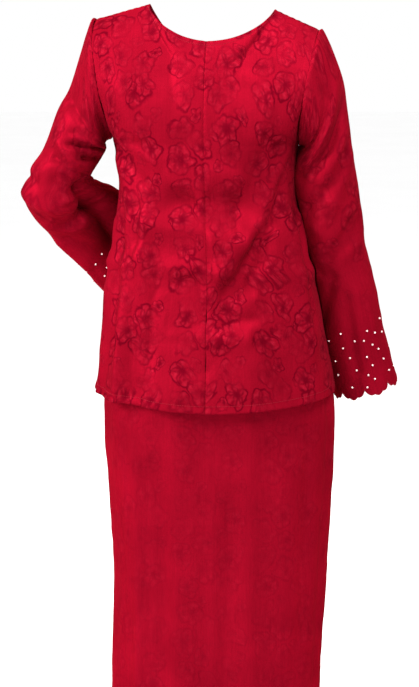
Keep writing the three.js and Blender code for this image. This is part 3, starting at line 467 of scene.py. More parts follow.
def clear_of_skirt(points):
    """Below the skirt's top, points that a trough would bring too near the skirt are pushed straight out."""
    push = pushed_clear(points, skirt_surface, SKIRT_GAP)
    push = lerp(1, push, smooth(points[..., 2], SKIRT_TOP + SKIRT_GAP_FADES, SKIRT_TOP))
    return points * point(push, push, 1)


def posed(points):
    """Shoulders lifted and turned against the hips, fading out downwards."""
    lift = SHOULDER_LIFT * points[..., 0] / SHOULDER_TIP[LEFT] * (1 - smooth(-points[..., 2], *LIFT_FADES))
    return turned(points + point(0, 0, lift), turn_at(points[..., 2]))


def tunic_surface(side, face, share, rise):
    """The tunic's outer surface. share runs from a centre line to a side, and rise from -1 at the hem through
    0 at the underarm to 1 at the top edge."""
    share, rise = np.broadcast_arrays(np.asarray(share, float), np.asarray(rise, float))
    angle = angle_at(face, share)
    level = lerp(ARM_LEVEL, hem_level(side, angle), np.clip(-rise, 0, 1))
    body = oval(tunic_curves, TUNIC_SQUARE, side, angle, level)
    upper = yoke(side, face, share, np.clip(rise, 0, 1))
    folded = pushed_by_folds(np.where((rise < 0)[..., None], body, upper), TUNIC_FOLDS, TUNIC_CREASES)
    return posed(clear_of_skirt(folded))


def clear_of_tunic(points):
    """Points that would lie in the tunic's cloth are pushed straight out of the body, just past it."""
    turn = turn_at(points[..., 2])
    local = turned(points, -turn)
    push = pushed_clear(local, tunic_body, SLEEVE_GAP)
    return turned(local * point(push, push, 1), turn)


def sleeve_surface(side, rings, folds, creases, turn, at):
    """A sleeve as a grid, rows at "at" and columns at "turn", which is 0 at the outer line, plus over the
    back and half a turn at the underarm seam. Each column is a curve through the armhole's point, a point
    just outside it, and one on every ring, centre + outwards cos a + backwards half sin a."""
    rise = 1 - np.abs(turn) / HALF_TURN
    share = np.ones_like(turn)
    armhole = np.where((turn >= 0)[:, None],
                       *(tunic_surface(side, face, share, rise) for face in (BACK, FRONT)))
    low = (np.abs(turn) / HALF_TURN) ** UNDERARM_SHARP
    step_out, step_up = (lerp(CAP_STEP[i], UNDERARM_STEPS[side][i], low) for i in (0, 1))
    cap_start = point(side * step_out, 0, step_up)
    outer = np.array([ring.outer for ring in rings], float)
    inner = np.array([ring.inner for ring in rings], float)
    centres = (outer + inner) / 2
    start = (tunic_surface(side, BACK, 1, 1) + tunic_surface(side, BACK, 1, 0)) / 2
    path = np.vstack([start, start + cap_start.mean(axis=0), centres])
    ats = [0, CAP_AT, *(ring.at for ring in rings)]
    after = np.minimum(np.arange(len(rings)) + 3, len(path) - 1)
    backwards = unit(np.cross(path[after] - path[1:-1], outer - inner))
    backwards *= np.sign(backwards[:, 1:2])
    halves = np.array([ring.half for ring in rings])[:, None, None]
    ring_points = (centres[:, None] + (outer - centres)[:, None] * np.cos(turn)[None, :, None]
                   + backwards[:, None] * halves * np.sin(turn)[None, :, None])
    columns = np.concatenate([armhole[None], (armhole + cap_start)[None], ring_points])
    base = curve_through(ats, columns)(at)
    centre = curve_through(ats, path)(at)[:, None]
    place = turn[None] * SLEEVE_RADIUS, at[:, None] * SLEEVE_LENGTH, SLEEVE_DEGREE_WIDTH, SLEEVE_LENGTH
    height = LARGE_FOLDS * fold_height(folds, *place) + fold_height(creases, *place)
    height = height * smooth(at, *FOLDS_START)[:, None]
    base = base + height[..., None] * unit(base - centre)
    return np.where((at > CAP_AT)[:, None, None], clear_of_tunic(base), base)


def scallop_reach(turn):
    """How far the hem reaches: depth sin^round of half a turn a lobe, plus small ripples in each, less the
    rise, which goes round the arm as the square of (1 + cos) / 2."""
    lobe = (turn / FULL_TURN * SCALLOPS) % 1
    ripple = np.abs(np.sin(RIPPLES * HALF_TURN * lobe))
    rise = HEM_RISE * ((1 + np.cos(turn - HEM_RISE_TURN)) / 2) ** 2
    return SCALLOP_DEPTH * np.sin(HALF_TURN * lobe) ** SCALLOP_ROUND + RIPPLE_DEPTH * ripple - rise


# Meshes -----------------------------------------------------------------------

def grid_normals(grid, closed=False):
    """Unit normals from the differences between neighbours in both directions."""
    along = np.gradient(grid, axis=0)
    if closed:
        across = np.roll(grid, -1, axis=1) - np.roll(grid, 1, axis=1)
    else:
        across = np.gradient(grid, axis=1)
    return unit(np.cross(across, along))


def girths(grid):
    """Length round each row of a closed grid."""
    return np.linalg.norm(np.roll(grid, -1, axis=1) - grid, axis=-1).sum(axis=1)[:, None]


def lengths_along(grid, axis):
    """Length walked along the grid's lines from their start."""
    steps = np.linalg.norm(np.diff(grid, axis=axis), axis=-1)
    start = np.zeros_like(np.take(steps, [0], axis=axis))
    return np.concatenate([start, np.cumsum(steps, axis=axis)], axis=axis)


def make_mesh(name, points, faces, uv=None, uv_faces=None, bloom=None):
    """A mesh object from arrays in millimetres. bloom has one value a point, and uv one row for each number
    in uv_faces, which differ from the faces only where a tube closes."""
    mesh = bpy.data.meshes.new(name)
    mesh.vertices.add(len(points))
    mesh.vertices.foreach_set("co", (points * MM).astype(np.float32).ravel())
    corners = faces.shape[1]
    mesh.loops.add(faces.size)
    mesh.loops.foreach_set("vertex_index", faces.astype(np.int32).ravel())
    mesh.polygons.add(len(faces))
    mesh.polygons.foreach_set("loop_start", np.arange(0, faces.size, corners, dtype=np.int32))
    mesh.update(calc_edges=True)
    mesh.polygons.foreach_set("use_smooth", np.ones(len(faces), bool))
    if uv is not None:
        layer = mesh.uv_layers.new(name="cloth")
        layer.data.foreach_set("uv", (uv[uv_faces.ravel()] * MM).astype(np.float32).ravel())
    if bloom is not None:
        attribute = mesh.attributes.new("bloom", "FLOAT", "POINT")
        attribute.data.foreach_set("value", bloom.astype(np.float32))
    mesh.validate()
    piece = bpy.data.objects.new(name, mesh)
    bpy.context.scene.collection.objects.link(piece)
    return piece


def grid_faces(rows, columns, closed=False):
    """Quads of a grid of points, whose last column may join the first."""
    row, column = np.meshgrid(np.arange(rows - 1), np.arange(columns - (0 if closed else 1)), indexing="ij")
    after = (column + 1) % columns
    first, above = row * columns, (row + 1) * columns
    return np.stack([first + column, first + after, above + after, above + column], axis=-1).reshape(-1, 4)


def cloth_piece(node, grid, uv, bloom, middle, closed=False, thickness=CLOTH):
    """A panel or tube of cloth that stands for a node: its outer face is the grid, and Solidify gives it a
    wall inwards, towards the middle. A closed tube's uv has one column more than its grid."""
    faces = grid_faces(*grid.shape[:2], closed)
    uv_faces = grid_faces(*uv.shape[:2])
    if np.sum(grid_normals(grid, closed) * (grid - middle)) < 0:
        faces, uv_faces = faces[:, ::-1], uv_faces[:, ::-1]
    piece = make_mesh(f"{node}_cloth", grid.reshape(-1, 3), faces, uv.reshape(-1, 2), uv_faces, bloom.ravel())
    wall = piece.modifiers.new("wall", "SOLIDIFY")
    wall.thickness = thickness * MM
    wall.offset = -1
    wall.use_even_offset = False
    piece.data.materials.append(cloth)
    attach(piece, "root")
    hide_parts(node)
    return piece


def outward_normals(grid, inside, closed=False):
    """The grid's normals, all on the side that faces away from what is inside."""
    normals = grid_normals(grid, closed)
    return normals * np.sign(np.sum(normals * (grid - inside), axis=-1, keepdims=True))


def copies(shape_points, shape_faces, places, across, along, out):
    """Copies of one small shape as one set of points and faces: each point is place + x across + y along +
    z out."""
    axes = np.stack([across, along, out], axis=1)
    points = places[:, None] + np.einsum("pk,nkd->npd", shape_points, axes)
    faces = shape_faces[None] + (np.arange(len(places)) * len(shape_points))[:, None, None]
    return points.reshape(-1, 3), faces.reshape(-1, shape_faces.shape[1])


def rounded(rings, sides):
    """A small closed shape turned about its y axis, from rows of y and radius, its poles nearly closed by
    tiny end rings that a fan of quads then fills."""
    turn = np.arange(sides) / sides * FULL_TURN
    y, radius = np.array(rings, float).T
    grid = point(radius[:, None] * np.cos(turn), y[:, None], radius[:, None] * np.sin(turn))
    fan = np.array([[i, i + 1, sides - 2 - i, sides - 1 - i] for i in range(sides // 2 - 1)])
    faces = [grid_faces(len(rings), sides, closed=True), fan[:, ::-1], fan + (len(rings) - 1) * sides]
    return grid.reshape(-1, 3), np.concatenate(faces)[:, ::-1]


def trim_piece(name, points, faces, material, slot):
    """A piece of trim or sewing that lies on the cloth."""
    piece = make_mesh(name, points, faces)
    piece.data.materials.append(material)
    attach(piece, "root")
    return piece


def walk_evenly(line, spacing):
    """Points along an open line every "spacing" millimetres, as row numbers with a fraction."""
    walked = np.concatenate([[0], np.cumsum(np.linalg.norm(np.diff(line, axis=0), axis=1))])
    return np.interp(np.arange(spacing / 2, walked[-1], spacing), walked, np.arange(len(line)))


def between(rows, place):
    """Values of an array at fractional row numbers, straight between rows."""
    low = np.minimum(place.astype(int), len(rows) - 2)
    return lerp(rows[low], rows[low + 1], (place - low)[:, None])


# Materials --------------------------------------------------------------------

def linear(colour):
    """An sRGB hex colour as linear red, green, blue and alpha."""
    parts = [int(colour[i:i + 2], 16) / 255 for i in (1, 3, 5)]
    return [c / 12.92 if c <= 0.04045 else ((c + 0.055) / 1.055) ** 2.4 for c in parts] + [1]


def add(tree, kind, links=(), **settings):
    """Adds a node. links gives inputs by name or number: a node or socket is linked, all else is a value."""
    node = tree.nodes.new(kind)
    for name, value in settings.items():
        setattr(node, name, value)
    for key, value in dict(links).items():
        if isinstance(value, bpy.types.Node):
            value = value.outputs[0]
        if isinstance(value, bpy.types.NodeSocket):
            tree.links.new(value, node.inputs[key])
        else:
            node.inputs[key].default_value = value
    return node


def new_material(name):
    """A material with no nodes yet, and its node tree."""
    material = bpy.data.materials.new(name)
    material.use_nodes = True
    material.node_tree.nodes.clear()
    return material, material.node_tree


NUMBER, VECTOR, RAMP = "ShaderNodeMath", "ShaderNodeVectorMath", "ShaderNodeMapRange"
MIX, NOISE, WAVE = "ShaderNodeMix", "ShaderNodeTexNoise", "ShaderNodeTexWave"
FIRST, SECOND, MIXED = 6, 7, 2  # the Mix node's colour sockets, which share their names with others
SHADER, OUTPUT = "ShaderNodeBsdfPrincipled", "ShaderNodeOutputMaterial"

FLOWER_SPACING = (64.0, 48.75)  # two by four cells make the woven repeat of 128 by 195 mm
REPEAT_CELLS = (2, 4)
FLOWER_REACH = 23.0
FLOWER_SHIFT, FLOWER_MIDDLE = (0.24, 0.04, 0), (-0.62, -0.52, 0)  # in cells, by chance and always
FLATTEST = 1.35  # a flower seen from the side is narrower by up to this
PETAL_TURN = FULL_TURN / 5
PETAL_MIDDLE, PETAL_ROUND = 0.5, 0.44  # where a petal's round lies and its radius, in shares of the reach
THROAT_HARD, THROAT_REACH = 0.1, 0.52  # where the throat starts to fade and where it ends, in the same shares
LINE_WIDTH = 3.5  # half the woven outline's width with its soft edge
LINE_HARD = 0.1  # share of that width which is fully dark
COVERED_FADE = 0.35  # how much fainter a petal's outline is where the next petal covers it


def flower_group():
    """One layer of woven flowers on a lattice: each cell has a five-petalled flower, turned, shifted and
    flattened by random numbers of its own. A petal is a round whose middle lies off the flower's own, and
    each petal's outline is drawn also where the next petal covers it. Outputs: outline, throat and petals."""
    tree = bpy.data.node_groups.new("woven flowers", "ShaderNodeTree")
    for name, kind in (("Place", "Vector"), ("Seed", "Float"), ("Density", "Float")):
        tree.interface.new_socket(name, in_out="INPUT", socket_type=f"NodeSocket{kind}")
    for name in ("Outline", "Throat", "Petals"):
        tree.interface.new_socket(name, in_out="OUTPUT", socket_type="NodeSocketFloat")
    entry = tree.nodes.new("NodeGroupInput").outputs
    wide, high = FLOWER_SPACING

    cells = add(tree, VECTOR, {0: entry["Place"], 1: (1 / wide / MM, 1 / high / MM, 1)}, operation="MULTIPLY")
    whole = add(tree, VECTOR, {0: cells}, operation="FLOOR")
    within = add(tree, VECTOR, {0: cells, 1: whole}, operation="SUBTRACT")
    wrapped = add(tree, VECTOR, {0: whole, 1: (*REPEAT_CELLS, 1), 2: (0, 0, 0)}, operation="WRAP")
    chance = add(tree, "ShaderNodeTexWhiteNoise", {"Vector": wrapped, "W": entry["Seed"]},
                 noise_dimensions="4D").outputs
    chances = add(tree, "ShaderNodeSeparateColor", {0: chance["Color"]}).outputs
    shift = add(tree, VECTOR, {0: chance["Color"], 1: FLOWER_SHIFT, 2: FLOWER_MIDDLE},
                operation="MULTIPLY_ADD")
    middle = add(tree, VECTOR, {0: within, 1: shift}, operation="ADD")
    size = (wide / FLOWER_REACH, high / FLOWER_REACH, 0)
    axes = add(tree, "ShaderNodeSeparateXYZ", {
        0: add(tree, VECTOR, {0: middle, 1: size}, operation="MULTIPLY")}).outputs
    flatten = add(tree, RAMP, {"Value": chances[2], "To Min": 1, "To Max": FLATTEST})
    flat_x = add(tree, NUMBER, {0: axes["X"], 1: flatten}, operation="MULTIPLY")
    local = add(tree, "ShaderNodeCombineXYZ", {0: flat_x, 1: axes["Y"]})
    away = add(tree, VECTOR, {0: local}, operation="LENGTH").outputs["Value"]
    angle = add(tree, NUMBER, {0: axes["Y"], 1: flat_x}, operation="ARCTAN2")
    turn = add(tree, NUMBER, {0: chance["Value"], 1: FULL_TURN, 2: angle}, operation="MULTIPLY_ADD")
    to_petal = add(tree, NUMBER, {0: turn, 1: -PETAL_TURN / 2, 2: PETAL_TURN / 2}, operation="WRAP")
    beside = add(tree, NUMBER, {0: to_petal}, operation="ABSOLUTE")
    along_across = [add(tree, NUMBER, {0: away, 1: add(tree, NUMBER, {0: beside}, operation=wave)},
                        operation="MULTIPLY") for wave in ("COSINE", "SINE")]
    in_petal = add(tree, "ShaderNodeCombineXYZ", dict(enumerate(along_across)))
    edges, lines = [], []
    for step in (0, 1):
        petal = (PETAL_MIDDLE * math.cos(step * PETAL_TURN), PETAL_MIDDLE * math.sin(step * PETAL_TURN), 0)
        off = add(tree, VECTOR, {0: in_petal, 1: petal}, operation="DISTANCE").outputs["Value"]
        edges.append(add(tree, NUMBER, {0: off, 1: PETAL_ROUND}, operation="SUBTRACT"))
        near = add(tree, NUMBER, {0: edges[step]}, operation="ABSOLUTE")
        lines.append(add(tree, RAMP, {
            "Value": near, "From Min": LINE_HARD * LINE_WIDTH / FLOWER_REACH,
            "From Max": LINE_WIDTH / FLOWER_REACH, "To Min": 1 - COVERED_FADE * step, "To Max": 0},
            interpolation_type="SMOOTHSTEP"))
    line = add(tree, NUMBER, {0: lines[0], 1: lines[1]}, operation="MAXIMUM")
    kept = add(tree, NUMBER, {0: chances[0], 1: entry["Density"]}, operation="LESS_THAN")
    inside = add(tree, NUMBER, {0: edges[0], 1: 0.0}, operation="LESS_THAN")
    petals = add(tree, NUMBER, {0: inside, 1: kept}, operation="MULTIPLY")
    throat = add(tree, RAMP, {"Value": away, "From Min": THROAT_HARD, "From Max": THROAT_REACH, "To Min": 1,
                 "To Max": 0}, interpolation_type="SMOOTHSTEP")
    add(tree, "NodeGroupOutput", {
        "Outline": add(tree, NUMBER, {0: line, 1: kept}, operation="MULTIPLY"),
        "Throat": add(tree, NUMBER, {0: throat, 1: petals}, operation="MULTIPLY"),
        "Petals": petals})
    return tree


# The layers of flowers, drawn one over the other: where a layer is moved to, in cells, how much smaller its
# flowers are, how many of its cells have one, and its seed
Layer = namedtuple("Layer", "move smaller density seed")
FLOWER_LAYERS = [
    Layer((0.27, -0.31), 2, 0.3, 5.0),
    Layer((0, 0), 1, 0.8, 3.0),
    Layer((0.5, 0.5), 1, 0.6, 11.0),
    Layer((0.22, 0.73), 1, 0.4, 23.0),
]
WAVERINGS = ((70, 34), (21, 15), (6, 3.5))  # size and amount of the outlines' wavering, in mm
WORN_SIZE, PATCH_SIZE, FLECK_SIZE = 48, 85, 7  # mottling: of the flowers' strength, of the dye, of the petals
SLUB_WIDTH, SLUB_LENGTH = 2.6, 60  # thicker stretches of the upright threads
THREAD_PITCH, CREPE_SIZE = 1.5, 5
WEAVE_RELIEF, SLUB_RELIEF, OUTLINE_RELIEF = 0.16, 0.5, -0.08  # shares of the crepe's own; outlines are sunk
RELIEF_DEPTH, RELIEF_STRENGTH = 0.9, 0.5
THROAT_WEIGHT = 0.85
PEARL_CLOUD, TWIST_PITCH, PAPER_GRAIN = 1.5, 0.6, 400


def jacquard_material():
    """Jacquard, woven satin, dyed: flowers are woven in by letting the dull side of the weave show. The eye
    sees soft darker outlines, dull throats and petals flecked a little lighter than the ground, a faint
    upright slub, and a broad soft gloss in the cloth's own red. Threads of 0.4 mm are drawn 1.5 mm apart."""
    material, tree = new_material("jacquard, woven satin")
    place = add(tree, "ShaderNodeUVMap", uv_map="cloth")
    bloom = add(tree, "ShaderNodeAttribute", attribute_name="bloom").outputs["Fac"]

    wobbled = place
    for size, amount in WAVERINGS:
        waver = add(tree, NOISE, {"Vector": place, "Scale": 1 / (size * MM), "Detail": 1})
        centred = add(tree, VECTOR, {0: waver.outputs["Color"], 1: (0.5, 0.5, 0.5)}, operation="SUBTRACT")
        wobbled = add(tree, VECTOR, {0: centred, 1: (amount * MM, amount * MM, 0), 2: wobbled},
                      operation="MULTIPLY_ADD")
    drawn = {"Outline": 0.0, "Throat": 0.0, "Petals": 0.0}
    flowers = flower_group()
    for layer in FLOWER_LAYERS:
        move = (layer.move[0] * FLOWER_SPACING[0] * MM, layer.move[1] * FLOWER_SPACING[1] * MM, 0)
        moved = add(tree, VECTOR, {0: wobbled, 1: (layer.smaller,) * 3, 2: move}, operation="MULTIPLY_ADD")
        own = add(tree, "ShaderNodeGroup", {"Place": moved, "Seed": layer.seed, "Density": layer.density},
                  node_tree=flowers).outputs
        for part, below in drawn.items():
            drawn[part] = add(tree, MIX, {0: own["Petals"], 2: below, 3: own[part]}, data_type="FLOAT")
        drawn["Outline"] = add(tree, NUMBER, {0: drawn["Outline"], 1: own["Outline"]}, operation="MAXIMUM")

    worn, fleck, patches, crepe = (
        add(tree, NOISE, {"Vector": place, "Scale": 1 / (size * MM), "Detail": detail})
        for size, detail in ((WORN_SIZE, 3), (FLECK_SIZE, 2), (PATCH_SIZE, 3), (CREPE_SIZE, 3)))
    weight = add(tree, RAMP, {"Value": worn, "From Min": 0.4, "From Max": 0.6, "To Min": 0.2, "To Max": 1})
    shown = add(tree, NUMBER, {0: weight, 1: bloom}, operation="MULTIPLY")
    outline, petals, throat = (add(tree, NUMBER, {0: drawn[part], 1: shown}, operation="MULTIPLY")
                               for part in ("Outline", "Petals", "Throat"))
    flecked = add(tree, RAMP, {"Value": fleck, "From Min": 0.42, "From Max": 0.66})
    petals = add(tree, NUMBER, {0: petals, 1: flecked}, operation="MULTIPLY")
    throat = add(tree, NUMBER, {0: throat, 1: THROAT_WEIGHT}, operation="MULTIPLY")

    colour = linear("#7b0619")
    for part, dye in ((petals, "#891023"), (throat, "#5a0211"), (outline, "#5a0211")):
        colour = add(tree, MIX, {0: part, FIRST: colour, SECOND: linear(dye)},
                     data_type="RGBA").outputs[MIXED]
    stretch = add(tree, VECTOR, {0: place, 1: (1 / (SLUB_WIDTH * MM), 1 / (SLUB_LENGTH * MM), 0)},
                  operation="MULTIPLY")
    slub = add(tree, NOISE, {"Vector": stretch, "Scale": 1.0, "Detail": 2})
    shade, streak = (
        add(tree, RAMP, {"Value": cloud, "From Min": 0.3, "From Max": 0.7, "To Min": dark, "To Max": light})
        for cloud, dark, light in ((patches, 0.86, 1.12), (slub, 0.95, 1.05)))
    shade = add(tree, NUMBER, {0: shade, 1: streak}, operation="MULTIPLY")
    colour = add(tree, VECTOR, {0: colour, "Scale": shade}, operation="SCALE")

    weave = add(tree, WAVE, {"Vector": place, "Scale": 2 / (THREAD_PITCH * MM) / FULL_TURN,
                "Distortion": 3, "Detail": 1, "Detail Scale": 1.5}, bands_direction="DIAGONAL")
    height = crepe
    for relief, share in ((weave, WEAVE_RELIEF), (slub, SLUB_RELIEF), (outline, OUTLINE_RELIEF)):
        height = add(tree, NUMBER, {0: relief, 1: share, 2: height}, operation="MULTIPLY_ADD")
    # the filaments' gloss takes the dye's colour, as a metal's does, with none of a coated cloth's white rim
    shader = add(tree, SHADER, {
        "Base Color": colour, "Metallic": 0.28,
        "Roughness": add(tree, RAMP, {"Value": outline, "To Min": 0.5, "To Max": 0.6}),
        "Normal": add(tree, "ShaderNodeBump", {
            "Strength": RELIEF_STRENGTH, "Distance": RELIEF_DEPTH * MM, "Height": height}),
        "Specular IOR Level": 0.0, "Specular Tint": linear("#c43a4c"),
        "Sheen Weight": 0.04, "Sheen Roughness": 0.45, "Sheen Tint": linear("#d84a58")})
    add(tree, OUTPUT, {"Surface": shader})
    return material


def pearl_material():
    """Glass pearl, dipped: white with a soft coat and small highlights, tinted faintly pink as a painted
    reflection of the red cloth round it.
    """
    material, tree = new_material("glass pearl, dipped, painted pink reflection")
    place = add(tree, "ShaderNodeTexCoord").outputs["Object"]
    cloud = add(tree, NOISE, {"Vector": place, "Scale": 1 / (PEARL_CLOUD * MM), "Detail": 2})
    # painted reflection: the pearl's own white carries a faint pink that stands in for the red cloth
    # reflected in it
    tint = add(tree, MIX, {0: cloud, FIRST: linear("#eebfc2"), SECOND: linear("#fae4e0")}, data_type="RGBA")
    shader = add(tree, SHADER, {
        "Base Color": tint.outputs[MIXED], "IOR": 1.53, "Coat Weight": 0.6, "Coat Roughness": 0.08,
        "Roughness": add(tree, RAMP, {"Value": cloud, "To Min": 0.14, "To Max": 0.24})})
    add(tree, OUTPUT, {"Surface": shader})
    return material


def thread_material():
    """Polyester sewing thread, twisted: the cloth's red, a little lighter, with a fine slanted twist."""
    material, tree = new_material("polyester thread, twisted")
    place = add(tree, "ShaderNodeTexCoord").outputs["Object"]
    twist = add(tree, WAVE, {"Vector": place, "Scale": 2 / (TWIST_PITCH * MM) / FULL_TURN},
                bands_direction="DIAGONAL")
    tint = add(tree, MIX, {0: twist, FIRST: linear("#76061a"), SECOND: linear("#8b0c20")}, data_type="RGBA")
    shader = add(tree, SHADER, {
        "Base Color": tint.outputs[MIXED], "Roughness": 0.5, "Specular IOR Level": 0.1,
        "Normal": add(tree, "ShaderNodeBump", {"Strength": 0.4, "Distance": 0.1 * MM, "Height": twist})})
    add(tree, OUTPUT, {"Surface": shader})
    return material


cloth = jacquard_material()
pearl = pearl_material()
thread = thread_material()

# Sewing -----------------------------------------------------------------------

STITCH, STITCH_PITCH, THREAD_RADIUS = 2.9, 3.6, 0.3
STITCH_TIP, STITCH_SHOULDER, STITCH_SIDES = 0.1, 0.2, 6  # radius at a stitch's ends, where it is full, faces
THREAD_PROUD = 0.6  # share of the thread's radius by which its middle stands over the cloth
EDGE_RADIUS, EDGE_SWELL, EDGE_SIDES = 0.9, 0.12, 8  # close overcast stitches over the scalloped edge


def stitched_line(name, line, normals, slot):
    """Running stitches along a line on the cloth: small rounded bars, one every pitch."""
    place = walk_evenly(line, STITCH_PITCH)
    half = STITCH / STITCH_PITCH / 2 * np.gradient(place)
    along = unit(between(line, np.minimum(place + half, len(line) - 1))
                 - between(line, np.maximum(place - half, 0)))
    out = unit(between(normals, place))
    tip, shoulder = STITCH / 2, STITCH / 2 - STITCH_SHOULDER
    shape, faces = rounded([(-tip, STITCH_TIP), (-shoulder, THREAD_RADIUS), (shoulder, THREAD_RADIUS),
                            (tip, STITCH_TIP)], STITCH_SIDES)
    middles = between(line, place) + out * THREAD_RADIUS * THREAD_PROUD
    bars = copies(shape, faces, middles, unit(np.cross(along, out)), along, out)
    return trim_piece(name, *bars, thread, slot)


def overcast_edge(name, line, normals, slot):
    """A rounded cord of stitches round a closed edge: circles across the edge's own direction, swelling with
    each stitch by a sine."""
    line, normals = np.repeat(line, 2, axis=0), np.repeat(normals, 2, axis=0)
    line[1::2] = (line[1::2] + np.roll(line, -1, axis=0)[1::2]) / 2
    along = unit(np.roll(line, -1, axis=0) - np.roll(line, 1, axis=0))
    out = unit(normals - np.sum(normals * along, axis=-1, keepdims=True) * along)
    across = np.cross(along, out)
    turn = (np.arange(EDGE_SIDES) / EDGE_SIDES * FULL_TURN)[None, :, None]
    swell = EDGE_RADIUS * (1 + EDGE_SWELL * np.cos(HALF_TURN * np.arange(len(line))))[:, None, None]
    circle = (out[:, None] * np.cos(turn) + across[:, None] * np.sin(turn)) * swell
    ring = line[:, None] - out[:, None] * CLOTH / 2 + circle
    faces = grid_faces(len(ring) + 1, EDGE_SIDES, closed=True) % (len(ring) * EDGE_SIDES)
    if np.sum(np.cross(ring[0, 1] - ring[0, 0], ring[1, 0] - ring[0, 0]) * circle[0, 0]) < 0:
        faces = faces[:, ::-1]
    return trim_piece(name, ring.reshape(-1, 3), faces, thread, slot)


# Tunic ------------------------------------------------------------------------

SEAM_DIP, SEAM_WIDTH = 1.1, 3.0  # a sewn seam pulls the cloth in along its line
SEAM_DRAW = 7  # how far into the cloth two pieces are drawn together where they meet
SEAM_CROWD = 0.03  # share of a piece over which its grid's lines crowd towards a seam
PUCKER, PUCKER_PITCH, PUCKER_DRIFT = 0.35, 11.0, (1.3, 31)  # share of the dip, spacing, and its wavering
HEM_DEPTH, HEM_PROUD, HEM_SUNK, HEM_SUNK_WIDTH = 12.0, 0.8, 0.9, 2.0  # turned hem and its stitched line
HEM_STEP = (-1, 2)  # the turned cloth ends between these heights over the stitched line
HEM_WAVES = ((10, 0.9), (27, 1.2))  # size and height of the hem's puckers
HEM_WAVES_MIDDLE, HEM_WAVES_WIDTH = 6, 15  # height over the edge where they are deepest, and their reach
NECK_STITCHES, NECK_SUNK, NECK_SUNK_WIDTH = 7.0, 0.5, 1.5  # a line this far below the neckline
NECK_BLEND = (-0.01, 0.02)  # share of the top edge over which it gives way to the shoulder's seam
TUNIC_COLUMNS, BODY_ROWS, YOKE_ROWS = 70, 104, 66  # a quarter's grid, the rows below and above the underarm
CREPE_LUMPS = ((46, 1.1), (21, 0.6), (10, 0.22))  # size and height of the cloth's soft unevenness
BACK_SEED, FRONT_SEED, SLEEVE_SEED, SKIRT_SEED, BAND_SEED = 20, 30, 40, 50, 60
TUNIC_MIDDLE, SKIRT_MIDDLE, BAND_MIDDLE = (np.array([0, 0, level]) for level in (-350, -850, -408))
ONLY_LEVEL = np.array([0, 0, 1])  # times a grid, it gives the places on the Z axis at the grid's levels


def bell(distance, width):
    """exp(-(d / width)^2): 1 on a line, and fading to both sides of it."""
    return np.exp(-((distance / width) ** 2))


def seam_line(distance, along):
    """-dip exp(-(d / width)^2), deeper and shallower along the seam by a sine of the pucker's pitch."""
    drift = PUCKER_DRIFT[0] * np.sin(along / PUCKER_DRIFT[1])
    pull = 1 + PUCKER * np.sin(FULL_TURN * along / PUCKER_PITCH + drift)
    return -SEAM_DIP * pull * bell(distance, SEAM_WIDTH)


def hem_relief(above, along):
    """The turned hem stands proud, with a stitched line sunk in over it, and puckers along its stitches."""
    proud = HEM_PROUD * (1 - smooth(above - HEM_DEPTH, *HEM_STEP))
    sunk = -HEM_SUNK * bell(above - HEM_DEPTH, HEM_SUNK_WIDTH)
    puckers = sum(height * unevenness(along, along * 0, size, size) for size, height in HEM_WAVES)
    return proud + sunk + puckers * bell(above - HEM_WAVES_MIDDLE, HEM_WAVES_WIDTH)


def cloth_unevenness(u, v, seed):
    """Sum of the lumps, each size with a seed of its own."""
    return sum(height * unevenness(u, v, size, seed + i) for i, (size, height) in enumerate(CREPE_LUMPS))


def tunic_quarter(side, face):
    """A quarter of the tunic as a grid, rows from the hem up, with its cloth coordinates and its normals."""
    share = crowded(TUNIC_COLUMNS, SEAM_CROWD)
    rise = np.concatenate([-1 + crowded(BODY_ROWS, SEAM_CROWD, near_end=False),
                           crowded(YOKE_ROWS, SEAM_CROWD, near_start=False)[1:]])
    grid = tunic_surface(side, face, share[None], rise[:, None])
    underarm_row = int(np.argmin(np.abs(rise)))
    walked, from_hem = lengths_along(grid, 1), lengths_along(grid, 0)
    u = walked.copy()
    flat_x = np.abs(grid[..., 0] - grid[:, :1, 0])
    above = rise > 0
    rounding = (u - flat_x)[underarm_row]
    u[above] = flat_x[above] + rounding * (1 - smooth(rise[above], 0, 1))[:, None]
    u *= side * face
    v = lengths_along(grid * np.array([0, 1, 1]), 0)
    v = v - v[underarm_row]

    from_top, from_side = from_hem[-1:] - from_hem, walked[:, -1:] - walked
    on_neck = smooth(NECK_SHARE - share, *NECK_BLEND)[None]
    height = cloth_unevenness(u, v, BACK_SEED if face == BACK else FRONT_SEED)
    height += seam_line(from_side, from_hem) + hem_relief(from_hem, walked * side)
    height += seam_line(from_top, walked) * (1 - on_neck)
    height -= NECK_SUNK * on_neck * bell(from_top - NECK_STITCHES, NECK_SUNK_WIDTH)
    if face == BACK:
        height += seam_line(walked, from_hem)
    normals = outward_normals(grid, grid * ONLY_LEVEL)
    return grid + normals * height[..., None], np.stack([u, v], axis=-1), normals


def level_line(grid, normals, distance):
    """The line on a grid of cloth that runs at the same distance from its first row, and its normals."""
    walked = lengths_along(grid, 0)
    row = np.array([np.interp(distance, column, np.arange(len(column))) for column in walked.T])
    low, column = np.minimum(row.astype(int), len(grid) - 2), np.arange(grid.shape[1])
    part = (row - low)[:, None]
    return tuple(lerp(rows[low, column], rows[low + 1, column], part) for rows in (grid, normals))


def draw_together(first, second, column):
    """Two grids meet along a column: each takes half of what lies between their edges, less and less into
    the cloth as exp(-(d / reach)^2)."""
    apart = second[:, [column]] - first[:, [column]]
    for grid, half in ((first, apart / 2), (second, -apart / 2)):
        away = np.linalg.norm(grid - grid[:, [column]], axis=-1, keepdims=True)
        grid += half * bell(away, SEAM_DRAW)


quarters = {(side, face): tunic_quarter(side, face) for side in (LEFT, RIGHT) for face in (BACK, FRONT)}
for face in (BACK, FRONT):
    draw_together(quarters[LEFT, face][0], quarters[RIGHT, face][0], 0)
for side in (LEFT, RIGHT):
    draw_together(quarters[side, BACK][0][:BODY_ROWS], quarters[side, FRONT][0][:BODY_ROWS], -1)

